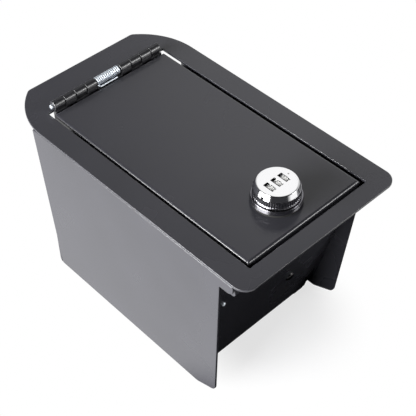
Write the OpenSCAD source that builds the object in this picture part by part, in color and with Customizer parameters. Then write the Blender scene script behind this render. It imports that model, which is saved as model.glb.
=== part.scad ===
// Sheet steel console safe with a flanged rim, a flush hinged lid and a dial lock on the lid.
// Millimetres. X runs across, Y from the lock end to the hinge end, Z up.
// The origin is the middle of the flange's length and width, on the standing surface.
// Inside the modules, Y is counted from the flange's front edge and Z from its top face.

/* [Show] */
// Piece to draw by itself, or all for the whole safe

/* [Body] */
// Width of the flange
flange_w = 152; // [146:1:176]
// Length of the flange
flange_len = 261; // [251:1:300]
// Height from the standing surface to the flange's top face
body_h = 157.2; // [140:0.2:190]
// Thickness of the body and lid sheet
sheet = 2; // [1.6:0.1:2.2]
// Radius of the flange's front corners
front_corner_r = 11; // [8:0.5:20]
// Radius of the flange's rear corners
rear_corner_r = 58; // [50:1:60]
// Inward lean of the side plates, in degrees
side_lean = 2.69; // [1.5:0.01:3.2]
// Distance from the front edge to the lid opening
rim_front = 14.6; // [12.8:0.2:16]
// Distance from the lid opening to the rear edge
rim_rear = 32.6; // [28:0.2:36]
// Width of the rim beside the lid opening
rim_side = 18.5; // [17:0.5:21]
// Setback of the front panel's top edge from the flange's front edge
front_top_y = 27; // [26.5:0.1:27.5]
// Setback of the front panel's bottom edge from the flange's front edge
front_bottom_y = 63.8; // [60:0.1:68]
// Setback of the right plate's front edge behind the left one's
right_setback = 2.2; // [0:0.2:3]
// Height of the lip that stands up behind the back panel
rear_lip_h = 37.2; // [30:0.2:45]
// Spacing of the floor bolt holes across the safe
bolt_pitch_x = 80; // [60:1:90]
// Spacing of the floor bolt holes along the safe
bolt_pitch_y = 110; // [90:1:120]
// Radius of the floor bolt holes
bolt_hole_r = 3.5; // [2.5:0.1:4.5]

/* [Lid] */
// Gap beside the lid
side_gap = 2.2; // [1.6:0.1:2.6]
// Gap in front of the lid
front_gap = 3.4; // [2.8:0.1:4]
// Gap behind the lid, which holds the two hinge leaves
rear_gap = 3.8; // [3.4:0.1:4.4]
// Depth of the lid's folded edge
lip_drop = 9.7; // [8.6:0.1:9.9]
// Outside radius of the lid's folds
fold_r = 2.4; // [1.5:0.1:2.8]
// Height of the rubber stops under the lid's front edge
bumper_h = 2; // [1.6:0.1:2]

/* [Hinge] */
// Outside radius of the knuckles
knuckle_r = 3.8; // [3.6:0.05:3.9]
// Radius of the hinge pin
pin_r = 2; // [1.8:0.05:2.1]
// Width of one knuckle and one gap
knuckle_pitch = 10.3; // [9.6:0.1:10.8]
// Half the width of the space for the spring
spring_half = 11.8; // [11.6:0.1:12.6]
// Thickness of the hinge leaves
leaf_t = 1.4; // [1.1:0.1:1.5]
// Wire diameter of the spring
wire_d = 1.3; // [1:0.05:1.3]
// Turns of the spring
spring_turns = 12.5; // [8.5:1:12.5]
// Length of the spring's two straight arms
arm_len = 18; // [10:1:20]

/* [Lock] */
// Distance from the flange's front edge to the lock's axis
lock_y = 46.8; // [46.6:0.1:48]
// Radius of the ring round the lock
bezel_r = 18.8; // [18:0.1:21]
// Radius of the knob over its ridges
knob_r = 17.2; // [16.8:0.1:17.8]
// Radius of the knob's flat top
knob_top_r = 14.9; // [14.4:0.1:15.4]
// Ridges round the knob
ridge_count = 60; // [40:2:72]
// Radius of the threaded lock barrel
barrel_r = 9; // [8.4:0.1:9.2]
// Radius of the number wheels
wheel_r = 5.3; // [5:0.05:5.4]
// Distance between the number wheels
wheel_pitch = 6.8; // [6.4:0.1:7]
// Distance from the lock's axis to the cam's tip
cam_reach = 15.6; // [14.6:0.1:15.8]

/* [Hidden] */

paint = [0.11, 0.11, 0.12];
zinc = [0.72, 0.73, 0.75];
chrome = [0.86, 0.87, 0.89];
rubber = [0.06, 0.06, 0.06];
white = [0.93, 0.93, 0.91];

// Facets of large and small round faces
fine = 96;
smooth = 48;
small = 32;
// Overrun of a cut past the face it cuts
over = 1;
// Gap at a welded seam between a flat edge and a leaning plate
seam = 0.1;
// Gap between faces that pass or press on each other
pass_gap = 0.3;
// Radial clearance of a shaft that turns
run_fit = 0.05;
// Radial clearance of a fastener or barrel in its hole
loose_fit = 0.15;

half_w = flange_w / 2;
open_half_w = half_w - rim_side;
open_y0 = rim_front;
open_y1 = flange_len - rim_rear;
lid_half_w = open_half_w - side_gap;
lid_y0 = open_y0 + front_gap;
lid_y1 = open_y1 - rear_gap;
lid_len = lid_y1 - lid_y0;

// Rear corner arcs meet the rear edge at an angle that a small arc blends
arc_back = 47;
arc_x = half_w - rear_corner_r;
arc_y = flange_len - arc_back;
tip_r = 5;
tip_rise = flange_len - tip_r - arc_y;
tip_x = arc_x + sqrt(pow(rear_corner_r - tip_r, 2) - pow(tip_rise, 2));
tip_dir = [tip_x - arc_x, tip_rise] / (rear_corner_r - tip_r);

// Side plate outline
plate_rear = lid_y1 - 0.3;
ear_front = 12.2;
ear_drop = 12;
ear_corner_r = 6;
ear_back = 25.3;
plate_foot_y = 36.6;
plate_foot_rise = 8.5;
plate_ramp_y = 56.5;
plate_foot_r = 7;

// Latch shelf
shelf_front = 12.4;
shelf_rear = 35;
shelf_bend_r = 3;
shelf_low = ear_drop + sheet;

// Front panel
front_lean = atan((front_bottom_y - front_top_y) / (body_h - ear_drop));
front_slant = sheet / cos(front_lean);
front_relief_x = 61;
front_relief_h = 7;
tab_x0 = 47.6;
tab_x1 = 58;
// Reach of the tabs past the front panel's outer face
tab_out = 0.3;

// Back panel, its raised middle and the folded rear lip of the bottom
back_out = lid_y1 + 0.4;
back_top = lip_drop + 0.8;
shoulder_drop = 24;
bottom_bend_r = sheet + 2;
rear_lip_half_w = side_out(-body_h) - 0.2;
rear_lip_corner_r = 6;

// Hinge
knuckle_gap = 0.3;
hinge_y = lid_y1 + knuckle_r;
hinge_z = knuckle_r + pass_gap;
bore_r = pin_r + run_fit;
body_leaf_y = lid_y1 + leaf_t + pass_gap;
body_leaf_up = 3;
leaf_sweep = knuckle_r + 0.5;
lid_leaf_top = hinge_z - sqrt(pow(leaf_sweep, 2) - pow(knuckle_r - leaf_t, 2));
lid_leaf_low = lip_drop - 1.2;
body_leaf_top = hinge_z - leaf_sweep;
body_leaf_low = 26;
leaf_end = spring_half + 4 * knuckle_pitch;
pin_left = leaf_end + 2.4;
pin_right = leaf_end + 0.8;
pin_chamfer = 0.5;
hinge_rivet_x = [18, 42];
hinge_rivet_z = -19;
rivet_r = 1.6;
rivet_head_r = 2.8;
rivet_head_h = 1.1;

// Spring
coil_r = bore_r + pass_gap + wire_d / 2;
coil_half = spring_half + knuckle_gap / 2 - pass_gap - wire_d / 2;
coil_pitch = 2 * coil_half / spring_turns;
rings = 8;
wire_sides = 6;
arm_out = coil_r + wire_d + pass_gap;
arm_drop = hinge_z - pass_gap - wire_d / 2;

// Rivets and plug on the front panel
panel_rivet_x = 58.5;
panel_rivet_z = -56.4;
panel_rivet_head_r = 1.8;
panel_rivet_head_h = 1.1;
panel_rivet_shank_r = 1.2;
plug_x = 25;
plug_z = -105;
plug_head_r = 4.2;
plug_head_h = 2.2;
plug_neck_r = 2.6;
plug_barb_r = 3.3;

// Rubber stops
bumper_r = 4;
bumper_x = 40;

// Lock, with heights counted from the lid's top face
gasket_h = 2.5;
gasket_r = 17.8;
bezel_top = 3.2;
bezel_rim = 5.7;
bezel_rim_r = bezel_r - 0.7;
bezel_in_r = 16;
collar_top = 4.2;
collar_r = 13;
disc_low = collar_top + pass_gap;
disc_floor = 0.7;
knob_low = 6.5;
disc_r = 12.6;
ridge_top = 12.5;
knob_top = 16.5;
knob_edge = 0.5;
knob_shoulder_r = knob_r - 0.8;
ridge_depth = 0.45;
wheel_z = knob_top - 0.5 - wheel_r;
wheel_w = 3.1;
hub_r = 2;
axle_r = 0.9;
window_w = wheel_w + 0.4;
window_half_l = 4.8;
pocket_top = wheel_z + 3.1;
pocket_half_l = wheel_r + 0.4;
pocket_half_w = wheel_pitch * 1.5 + pass_gap / 2;
axle_half = pocket_half_w + 1.6;
mark_x = 11.2;
mark_y = 0.4;
mark_r = 0.75;
code_hole_r = 1;
code_hole_z = 13.3;
code_hole_turn = 6;
code_hole_depth = 4;
spindle_r = 5;
square_half = 3.4;
washer_h = 1.2;
washer_r = 12.6;
nut_h = 5;
nut_r = 13.8;
barrel_depth = 12.3;
barrel_low = sheet + barrel_depth;
cam_top = barrel_low + pass_gap;
cam_t = 3;
cam_half_w = 6;
cam_washer_h = 0.8;
cam_washer_r = 5;
screw_r = 2;
screw_head_r = 3.8;
screw_head_h = 2;
screw_len = 9;

// Outside half width of the body at a height
function side_out(z) = half_w - (-z - sheet) * tan(side_lean);

// Inside half width of the body at a height
function side_in(z) = side_out(z) - sheet / cos(side_lean) - seam;

// Outside face of the front panel at a height
function front_y(z) = front_top_y + (-z - ear_drop) * tan(front_lean);

function unit(v) = v / norm(v);

function half_angle(a, p, b) = acos(unit(a - p) * unit(b - p)) / 2;

function corner_run(a, p, b, r) = r / tan(half_angle(a, p, b));

function corner_mid(a, p, b, r) = p + unit(unit(a - p) + unit(b - p)) * r / sin(half_angle(a, p, b));

// One point at a sharp corner, or the two ends of a rounded one
function corner_ends(a, p, b, r) = r == 0 ? [p] : [
    p + unit(a - p) * corner_run(a, p, b, r),
    p + unit(b - p) * corner_run(a, p, b, r)
];

function before(pts, i) = pts[(i + len(pts) - 1) % len(pts)];

function after(pts, i) = pts[(i + 1) % len(pts)];

// Outline with an arc at each corner that has a radius
module rounded_outline(pts, radii) {
    polygon([for (i = [0 : len(pts) - 1]) each corner_ends(before(pts, i), pts[i], after(pts, i), radii[i])]);
    for (i = [0 : len(pts) - 1])
        if (radii[i] > 0)
            translate(corner_mid(before(pts, i), pts[i], after(pts, i), radii[i]))
                circle(r = radii[i], $fn = fine);
}

// Sheet that runs level from x0 to x1 and then bends up to a height
module bent_strip(x0, x1, low, top, bend_r) {
    difference() {
        rounded_outline([[x0, low], [x1, low], [x1, top], [x0, top]], [0, bend_r, 0, 0]);
        rounded_outline(
            [
                [x0 - over, low + sheet], [x1 - sheet, low + sheet],
                [x1 - sheet, top + over], [x0 - over, top + over]
            ],
            [0, bend_r - sheet, 0, 0]
        );
    }
}

// Moves work counted from the flange into the safe's frame
module placed() {
    translate([0, -flange_len / 2, body_h])
        children();
}

module at_lock() {
    placed()
        translate([0, lock_y, 0])
            children();
}

// A profile in Y and Z drawn out along X
module across(x0, x1) {
    translate([x0, 0, 0])
        rotate([90, 0, 90])
            linear_extrude(x1 - x0)
                children();
}

// A profile in X and Z drawn out along Y
module along(y0, y1) {
    translate([0, y1, 0])
        rotate([90, 0, 0])
            linear_extrude(y1 - y0)
                children();
}

// Work on the front panel's outer face: X across, Y up the slope, Z outwards
module on_front(x, z) {
    translate([x, front_y(z), z])
        rotate([90 + front_lean, 0, 0])
            children();
}

// Shallow dome standing on the plane Z = 0
module dome(r, h) {
    ball_r = (r * r + h * h) / (2 * h);
    intersection() {
        translate([0, 0, h - ball_r])
            sphere(r = ball_r, $fn = smooth);
        cylinder(r = r + over, h = h + over, $fn = small);
    }
}

// Rivet with its dome on Z = 0 and its closed tail under the grip
module rivet(head_r, head_h, shank_r, grip) {
    dome(head_r, head_h);
    translate([0, 0, -grip - head_h])
        cylinder(r = shank_r, h = grip + head_h, $fn = small);
    translate([0, 0, -grip - head_h])
        cylinder(r1 = head_r * 0.7, r2 = head_r * 0.9, h = head_h, $fn = small);
}

module flange_outline() {
    difference() {
        union() {
            rounded_outline(
                [[-half_w, 0], [half_w, 0], [half_w, arc_y], [-half_w, arc_y]],
                [front_corner_r, front_corner_r, 0, 0]
            );
            intersection() {
                union() {
                    for (s = [-1, 1])
                        translate([s * arc_x, arc_y])
                            circle(r = rear_corner_r, $fn = fine * 2);
                    translate([-arc_x, arc_y])
                        square([2 * arc_x, rear_corner_r]);
                }
                translate([-half_w, arc_y])
                    square([flange_w, flange_len - arc_y]);
            }
        }
        for (s = [0, 1])
            mirror([s, 0])
                difference() {
                    translate([tip_x, arc_y + tip_rise])
                        polygon([[0, 0], [0, 2 * tip_r], [2 * tip_r, 2 * tip_r], 3 * tip_r * tip_dir]);
                    translate([tip_x, arc_y + tip_rise])
                        circle(r = tip_r, $fn = fine);
                }
        translate([-open_half_w, open_y0])
            square([2 * open_half_w, open_y1 - open_y0]);
    }
}

module flange_plate() {
    color(paint)
        placed()
            translate([0, 0, -sheet])
                linear_extrude(sheet)
                    flange_outline();
}

module side_outline(setback) {
    low = -body_h - over;
    rounded_outline(
        [
            [plate_rear, over], [ear_front, over], [ear_front, -ear_drop], [ear_back + setback, -ear_drop],
            [plate_foot_y + setback, -body_h + plate_foot_rise], [plate_ramp_y + setback, -body_h],
            [plate_ramp_y + setback, low], [plate_rear, low]
        ],
        [0, 0, ear_corner_r, 0, plate_foot_r, 0, 0, 0]
    );
}

// Side plate as it stands on the right, leaning inwards towards its foot and cut level at both ends
module side_plate(setback) {
    placed()
        intersection() {
            translate([half_w, 0, -sheet])
                rotate([0, side_lean, 0])
                    translate([0, 0, sheet])
                        across(-sheet, 0)
                            side_outline(setback);
            translate([0, 0, -body_h])
                cube([flange_w, flange_len, body_h - sheet]);
        }
}

module right_side_plate() {
    color(paint)
        side_plate(right_setback);
}

module left_side_plate() {
    color(paint)
        mirror([1, 0, 0])
            side_plate(0);
}

// Space between the leaning side plates, from one height down to another
module between_sides(top, low) {
    along(0, flange_len)
        polygon([[-side_in(top), top], [side_in(top), top], [side_in(low), low], [-side_in(low), low]]);
}

// Slab on the front panel's slope, from one depth behind its outer face to another
module front_slab(y0, y1) {
    translate([-half_w, front_top_y, -ear_drop])
        rotate([front_lean, 0, 0])
            translate([0, y0, -body_h])
                cube([flange_w, y1 - y0, body_h + sheet]);
}

module front_panel() {
    color(paint)
        placed()
            difference() {
                intersection() {
                    front_slab(0, sheet);
                    between_sides(-shelf_low, -body_h);
                }
                for (s = [0, 1])
                    mirror([s, 0, 0]) {
                        translate([front_relief_x, 0, -body_h - over])
                            cube([half_w, flange_len, front_relief_h + over]);
                        translate([tab_x0 - seam, 0, -body_h - over])
                            cube([tab_x1 - tab_x0 + 2 * seam, flange_len, sheet + over]);
                        on_front(panel_rivet_x, panel_rivet_z)
                            translate([0, 0, -sheet - over])
                                cylinder(r = panel_rivet_shank_r + loose_fit, h = sheet + 2 * over, $fn = small);
                    }
                on_front(plug_x, plug_z)
                    translate([0, 0, -sheet - over])
                        cylinder(r = plug_neck_r + loose_fit, h = sheet + 2 * over, $fn = small);
            }
}

module panel_rivets() {
    color(zinc)
        placed()
            for (s = [-1, 1])
                on_front(s * panel_rivet_x, panel_rivet_z)
                    rivet(panel_rivet_head_r, panel_rivet_head_h, panel_rivet_shank_r, sheet);
}

// Snap-in plug: dome outside, neck in the hole, barb inside
module cable_plug() {
    color(rubber)
        placed()
            on_front(plug_x, plug_z) {
                dome(plug_head_r, plug_head_h);
                translate([0, 0, -sheet])
                    cylinder(r = plug_neck_r, h = sheet, $fn = small);
                translate([0, 0, -2 * sheet])
                    cylinder(r1 = plug_neck_r, r2 = plug_barb_r, h = sheet, $fn = small);
            }
}

module back_panel() {
    color(paint)
        placed()
            difference() {
                along(back_out - sheet, back_out)
                    polygon([
                        [-open_half_w, -back_top], [open_half_w, -back_top], [open_half_w, -shoulder_drop],
                        [side_in(-shoulder_drop), -shoulder_drop],
                        [side_in(-body_h), -body_h + bottom_bend_r],
                        [-side_in(-body_h), -body_h + bottom_bend_r],
                        [-side_in(-shoulder_drop), -shoulder_drop], [-open_half_w, -shoulder_drop]
                    ]);
                hinge_rivet_holes();
            }
}

// Bottom with its floor bolt holes, a folded rear lip and two flat front tabs
module bottom_panel() {
    lip_rear = back_out + sheet;
    front_edge = front_y(-body_h) + front_slant + seam;
    bolt_mid_y = (front_edge + back_out) / 2;
    lip_top = -body_h + rear_lip_h;
    color(paint)
        placed()
            difference() {
                union() {
                    difference() {
                        across(-rear_lip_half_w, rear_lip_half_w)
                            bent_strip(front_edge, lip_rear, -body_h, lip_top, bottom_bend_r);
                        for (s = [0, 1])
                            mirror([s, 0, 0]) {
                                translate([side_in(-body_h), 0, -body_h - over])
                                    cube([half_w, back_out, body_h]);
                                lip_corner_cut(lip_top);
                            }
                    }
                    for (s = [0, 1])
                        mirror([s, 0, 0])
                            bottom_tab(front_edge);
                }
                for (x = [-1, 1], y = [-1, 1])
                    translate([x * bolt_pitch_x / 2, bolt_mid_y + y * bolt_pitch_y / 2, -body_h - over])
                        cylinder(r = bolt_hole_r, h = sheet + 2 * over, $fn = small);
            }
}

// Waste outside the rounded upper corner of the rear lip
module lip_corner_cut(lip_top) {
    translate([rear_lip_half_w - rear_lip_corner_r, flange_len, lip_top - rear_lip_corner_r])
        rotate([90, 0, 0])
            linear_extrude(flange_len)
                difference() {
                    square(rear_lip_corner_r + over);
                    circle(r = rear_lip_corner_r, $fn = fine);
                }
}

// Flat tab that lies in the front panel's slot and ends just past its outer face
module bottom_tab(front_edge) {
    low_y = front_y(-body_h) - tab_out;
    translate([tab_x0, low_y, -body_h])
        cube([tab_x1 - tab_x0, front_edge - low_y + over, sheet - seam]);
}

module latch_shelf() {
    color(paint)
        placed()
            intersection() {
                across(-half_w, half_w)
                    translate([shelf_front + shelf_rear, 0])
                        mirror([1, 0])
                            bent_strip(shelf_front, shelf_rear, -shelf_low, -sheet, shelf_bend_r);
                between_sides(-sheet, -shelf_low);
            }
}

module lid_bumpers() {
    color(rubber)
        placed()
            for (s = [-1, 1])
                translate([s * bumper_x, lid_y0 + sheet / 2, -ear_drop])
                    cylinder(r = bumper_r, h = bumper_h, $fn = small);
}

module lid_panel() {
    relief = sheet + 0.6;
    color(paint)
        placed()
            difference() {
                intersection() {
                    across(-lid_half_w, lid_half_w)
                        rounded_outline(
                            [[lid_y0, -lip_drop], [lid_y1, -lip_drop], [lid_y1, 0], [lid_y0, 0]],
                            [0, 0, fold_r, fold_r]
                        );
                    along(lid_y0, lid_y1)
                        rounded_outline(
                            [
                                [-lid_half_w, -lip_drop], [lid_half_w, -lip_drop],
                                [lid_half_w, 0], [-lid_half_w, 0]
                            ],
                            [0, 0, fold_r, fold_r]
                        );
                }
                translate([-lid_half_w + sheet, lid_y0 + sheet, -lip_drop - over])
                    cube([2 * (lid_half_w - sheet), lid_len - 2 * sheet, lip_drop + over - sheet]);
                for (s = [0, 1], y = [lid_y0 - over, lid_y1 - relief])
                    mirror([s, 0, 0])
                        translate([lid_half_w - relief, y, -lip_drop - over])
                            cube([relief + over, relief + over, lip_drop + over - fold_r - seam]);
                translate([0, lock_y, -sheet - over])
                    cylinder(r = barrel_r + loose_fit, h = sheet + 2 * over, $fn = smooth);
            }
}

// Middle of a numbered knuckle, counted outwards from the spring
function knuckle_x(i) = spring_half + (i + 0.5) * knuckle_pitch;

// Children set along the hinge line at each listed knuckle, on both sides
module at_knuckles(slots) {
    for (s = [-1, 1], i = slots)
        translate([s * knuckle_x(i), 0, 0])
            children();
}

module knuckle() {
    translate([0, hinge_y, hinge_z])
        rotate([0, 90, 0])
            cylinder(r = knuckle_r, h = knuckle_pitch - knuckle_gap, center = true, $fn = smooth);
}

// Strip of a leaf that rises into its knuckle
module knuckle_strip(y, z0, z1) {
    translate([-(knuckle_pitch - knuckle_gap) / 2, y, z0])
        cube([knuckle_pitch - knuckle_gap, leaf_t, z1 - z0]);
}

module pin_bore() {
    translate([0, hinge_y, hinge_z])
        rotate([0, 90, 0])
            cylinder(r = bore_r, h = flange_w, center = true, $fn = smooth);
}

module hinge_rivet_holes() {
    for (s = [-1, 1], x = hinge_rivet_x)
        translate([s * x, 0, hinge_rivet_z])
            rotate([-90, 0, 0])
                cylinder(r = rivet_r + loose_fit, h = flange_len, $fn = small);
}

// Leaf on the body: the upper half clears the lid's leaf and the lower half lies on the back panel
module hinge_body_leaf() {
    color(paint)
        placed()
            difference() {
                union() {
                    at_knuckles([1, 3]) {
                        knuckle();
                        knuckle_strip(body_leaf_y, -back_top, hinge_z - body_leaf_up);
                    }
                    translate([-leaf_end, body_leaf_y, -back_top])
                        cube([2 * leaf_end, leaf_t, back_top + body_leaf_top]);
                    translate([-leaf_end, back_out, -back_top])
                        cube([2 * leaf_end, body_leaf_y + leaf_t - back_out, leaf_t]);
                    translate([-leaf_end, back_out, -body_leaf_low])
                        cube([2 * leaf_end, leaf_t, body_leaf_low - back_top + leaf_t]);
                }
                pin_bore();
                hinge_rivet_holes();
            }
}

module hinge_lid_leaf() {
    color(paint)
        placed()
            difference() {
                union() {
                    at_knuckles([0, 2]) {
                        knuckle();
                        knuckle_strip(lid_y1, -lid_leaf_low, hinge_z);
                    }
                    translate([-leaf_end, lid_y1, -lid_leaf_low])
                        cube([2 * leaf_end, leaf_t, lid_leaf_low + lid_leaf_top]);
                }
                pin_bore();
            }
}

module hinge_rivets() {
    color(zinc)
        placed()
            for (s = [-1, 1], x = hinge_rivet_x)
                translate([s * x, back_out + leaf_t, hinge_rivet_z])
                    rotate([-90, 0, 0])
                        rivet(rivet_head_r, rivet_head_h, rivet_r, sheet + leaf_t);
}

module hinge_pin() {
    color(zinc)
        placed()
            translate([-pin_left, hinge_y, hinge_z])
                rotate([0, 90, 0]) {
                    cylinder(r1 = pin_r - pin_chamfer, r2 = pin_r, h = pin_chamfer, $fn = smooth);
                    translate([0, 0, pin_chamfer])
                        cylinder(r = pin_r, h = pin_left + pin_right - 2 * pin_chamfer, $fn = smooth);
                    translate([0, 0, pin_left + pin_right - pin_chamfer])
                        cylinder(r1 = pin_r, r2 = pin_r - pin_chamfer, h = pin_chamfer, $fn = smooth);
                }
}

// Arm of the spring, from its free end to the coil, as distances from the coil's end and the axis
arm = [
    [arm_len, -arm_out, -arm_drop], [wire_d * 2.2, -arm_out, -arm_drop], [wire_d * 1.2, -arm_out, -arm_drop],
    [wire_d * 0.45, -arm_out, -arm_drop + wire_d * 0.22], [0, -arm_out, -arm_drop + wire_d],
    [0, -arm_out + wire_d * 0.4, -wire_d * 1.1]
];

// Centre line of the wire: an arm, the coil and the other arm, which mirrors the first
coil = [
    for (i = [0 : spring_turns * rings])
        [
            -coil_half + i * coil_pitch / rings,
            coil_r * cos(180 - i * 360 / rings),
            coil_r * sin(180 - i * 360 / rings)
        ]
];
wire_path = concat(
    [for (p = arm) [p[0] - coil_half, p[1], p[2]]],
    coil,
    [for (i = [len(arm) - 1 : -1 : 0]) [coil_half - arm[i][0], -arm[i][1], arm[i][2]]]
);

function path_dir(path, i) = unit(path[min(i + 1, len(path) - 1)] - path[max(i - 1, 0)]);

function squared(v, t) = unit(v - (v * t) * t);

// Sideways direction carried along the path without twist
function carried(path) = [
    for (i = 0, v = squared([0, 0, 1], path_dir(path, 0)); i < len(path);
        i = i + 1, v = i < len(path) ? squared(v, path_dir(path, i)) : v) v
];

// One unbroken tube of triangles round a path
module tube(path, r, sides) {
    sideways = carried(path);
    points = [
        for (i = [0 : len(path) - 1], k = [0 : sides - 1])
            let (t = path_dir(path, i), a = k * 360 / sides)
                path[i] + r * cos(a) * sideways[i] + r * sin(a) * cross(t, sideways[i])
    ];
    last = (len(path) - 1) * sides;
    walls = [
        for (i = [0 : len(path) - 2], k = [0 : sides - 1])
            let (a = i * sides + k, b = i * sides + (k + 1) % sides)
                each [[a, a + sides, b + sides], [a, b + sides, b]]
    ];
    ends = [
        for (k = [1 : sides - 2])
            each [[0, k, k + 1], [last, last + k + 1, last + k]]
    ];
    polyhedron(points = points, faces = concat(walls, ends), convexity = 10);
}

// Least distance between wire centres more than half a turn apart, less the wire itself
spring_self_gap = min([
    for (i = [0 : len(wire_path) - 1], j = [i + rings / 2 + 1 : 1 : len(wire_path) - 1])
        norm(wire_path[i] - wire_path[j])
]) - wire_d;

module hinge_spring() {
    echo(spring_self_gap = spring_self_gap);
    color(zinc)
        placed()
            translate([0, hinge_y, hinge_z])
                tube(wire_path, wire_d / 2, wire_sides);
}

// Flat ring between two heights
module ring(outer_r, inner_r, z0, z1) {
    translate([0, 0, z0])
        difference() {
            cylinder(r = outer_r, h = z1 - z0, $fn = fine);
            translate([0, 0, -over])
                cylinder(r = inner_r, h = z1 - z0 + 2 * over, $fn = smooth);
        }
}

module lock_gasket() {
    color(rubber)
        at_lock()
            ring(gasket_r, barrel_r + loose_fit, 0, gasket_h);
}

// Outer ring: a shallow cup on the seal, with a rim round the spindle's disc
module lock_bezel() {
    color(chrome)
        at_lock()
            difference() {
                translate([0, 0, gasket_h])
                    cylinder(r1 = bezel_r, r2 = bezel_rim_r, h = bezel_rim - gasket_h, $fn = fine);
                translate([0, 0, bezel_top])
                    cylinder(r = bezel_in_r, h = bezel_rim, $fn = fine);
                translate([0, 0, gasket_h - over])
                    cylinder(r = barrel_r + loose_fit, h = bezel_rim, $fn = smooth);
            }
}

// Fixed barrel that clamps the ring to the lid
module lock_barrel() {
    color(zinc)
        at_lock()
            difference() {
                union() {
                    translate([0, 0, bezel_top])
                        cylinder(r = collar_r, h = collar_top - bezel_top, $fn = fine);
                    translate([0, 0, -barrel_low])
                        cylinder(r = barrel_r, h = barrel_low + bezel_top, $fn = smooth);
                }
                translate([0, 0, -barrel_low - over])
                    cylinder(r = spindle_r + run_fit, h = barrel_low + collar_top + 2 * over, $fn = smooth);
            }
}

module lock_washer() {
    color(zinc)
        at_lock()
            ring(washer_r, barrel_r + loose_fit, -sheet - washer_h, -sheet);
}

module lock_nut() {
    color(zinc)
        at_lock()
            translate([0, 0, -sheet - washer_h - nut_h])
                difference() {
                    rotate([0, 0, 30])
                        cylinder(r = nut_r, h = nut_h, $fn = 6);
                    translate([0, 0, -over])
                        cylinder(r = barrel_r + loose_fit, h = nut_h + 2 * over, $fn = smooth);
                }
}

// Ridged grip of the knob
module ridges() {
    polygon([
        for (i = [0 : ridge_count - 1], e = [0, 0.25, 0.5, 0.75])
            let (a = (i + e) * 360 / ridge_count, r = knob_r - (e < 0.5 ? 0 : ridge_depth))
                [r * cos(a), r * sin(a)]
    ]);
}

module lock_knob() {
    color(chrome)
        at_lock()
            difference() {
                union() {
                    translate([0, 0, knob_low])
                        linear_extrude(ridge_top - knob_low)
                            ridges();
                    translate([0, 0, ridge_top])
                        cylinder(r1 = knob_shoulder_r, r2 = knob_top_r, h = knob_top - knob_edge - ridge_top, $fn = fine);
                    translate([0, 0, knob_top - knob_edge])
                        cylinder(r1 = knob_top_r, r2 = knob_top_r - knob_edge, h = knob_edge, $fn = fine);
                }
                translate([-pocket_half_w, -pocket_half_l, knob_low - over])
                    cube([2 * pocket_half_w, 2 * pocket_half_l, pocket_top - knob_low + over]);
                for (i = [-1 : 1])
                    translate([i * wheel_pitch - window_w / 2, -window_half_l, pocket_top - over])
                        cube([window_w, 2 * window_half_l, knob_top]);
                translate([0, 0, wheel_z])
                    rotate([0, 90, 0])
                        cylinder(r = axle_r + run_fit, h = 2 * (axle_half + loose_fit), center = true, $fn = small);
                translate([mark_x, mark_y, knob_top - knob_edge])
                    cylinder(r = mark_r + run_fit, h = knob_edge + over, $fn = small);
                rotate([0, 0, code_hole_turn])
                    translate([-knob_shoulder_r, 0, code_hole_z])
                        rotate([0, 120, 0])
                            translate([0, 0, -over])
                                cylinder(r = code_hole_r, h = code_hole_depth, $fn = small);
            }
}

// Small mark set into the knob's top, level with the rows of numbers
module index_mark() {
    color(white)
        at_lock()
            translate([mark_x, mark_y, knob_top - knob_edge])
                cylinder(r = mark_r, h = knob_edge, $fn = small);
}

module dial_axle() {
    color(zinc)
        at_lock()
            translate([0, 0, wheel_z])
                rotate([0, 90, 0])
                    cylinder(r = axle_r, h = 2 * axle_half, center = true, $fn = small);
}

// Number wheel with a hub that spaces it from its neighbours
module dial_wheel(i) {
    color(chrome)
        at_lock()
            translate([i * wheel_pitch, 0, wheel_z])
                rotate([0, 90, 0])
                    difference() {
                        union() {
                            cylinder(r = wheel_r, h = wheel_w, center = true, $fn = smooth);
                            cylinder(r = hub_r, h = wheel_pitch - pass_gap, center = true, $fn = small);
                        }
                        cylinder(r = axle_r + run_fit, h = 2 * wheel_pitch, center = true, $fn = small);
                    }
}

module dial_wheel_1() {
    dial_wheel(-1);
}

module dial_wheel_2() {
    dial_wheel(0);
}

module dial_wheel_3() {
    dial_wheel(1);
}

// Shaft with a cup that closes the knob from below and clears the wheels, and a square end for the cam
module lock_spindle() {
    color(zinc)
        at_lock()
            difference() {
                union() {
                    translate([0, 0, disc_low])
                        cylinder(r = disc_r, h = knob_low - disc_low, $fn = fine);
                    translate([0, 0, -cam_top])
                        cylinder(r = spindle_r, h = cam_top + disc_low, $fn = smooth);
                    translate([-square_half, -square_half, -cam_top - cam_t])
                        cube([2 * square_half, 2 * square_half, cam_t + over]);
                }
                translate([-pocket_half_w, -pocket_half_l, disc_low + disc_floor])
                    cube([2 * pocket_half_w, 2 * pocket_half_l, knob_low]);
                translate([0, 0, -cam_top - cam_t - over])
                    cylinder(r = screw_r + run_fit, h = screw_len + over, $fn = small);
            }
}

// Cam that turns under the shelf's rear edge to lock the lid
module lock_cam() {
    color(zinc)
        at_lock()
            translate([0, 0, -cam_top - cam_t])
                difference() {
                    linear_extrude(cam_t)
                        rounded_outline(
                            [
                                [-cam_half_w - 1, -cam_half_w], [cam_reach, -cam_half_w],
                                [cam_reach, cam_half_w], [-cam_half_w - 1, cam_half_w]
                            ],
                            [3, 2, 2, 3]
                        );
                    translate([-square_half - run_fit, -square_half - run_fit, -over])
                        cube([2 * (square_half + run_fit), 2 * (square_half + run_fit), cam_t + 2 * over]);
                }
}

module cam_washer() {
    color(zinc)
        at_lock()
            ring(cam_washer_r, screw_r + loose_fit, -cam_top - cam_t - cam_washer_h, -cam_top - cam_t);
}

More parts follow.
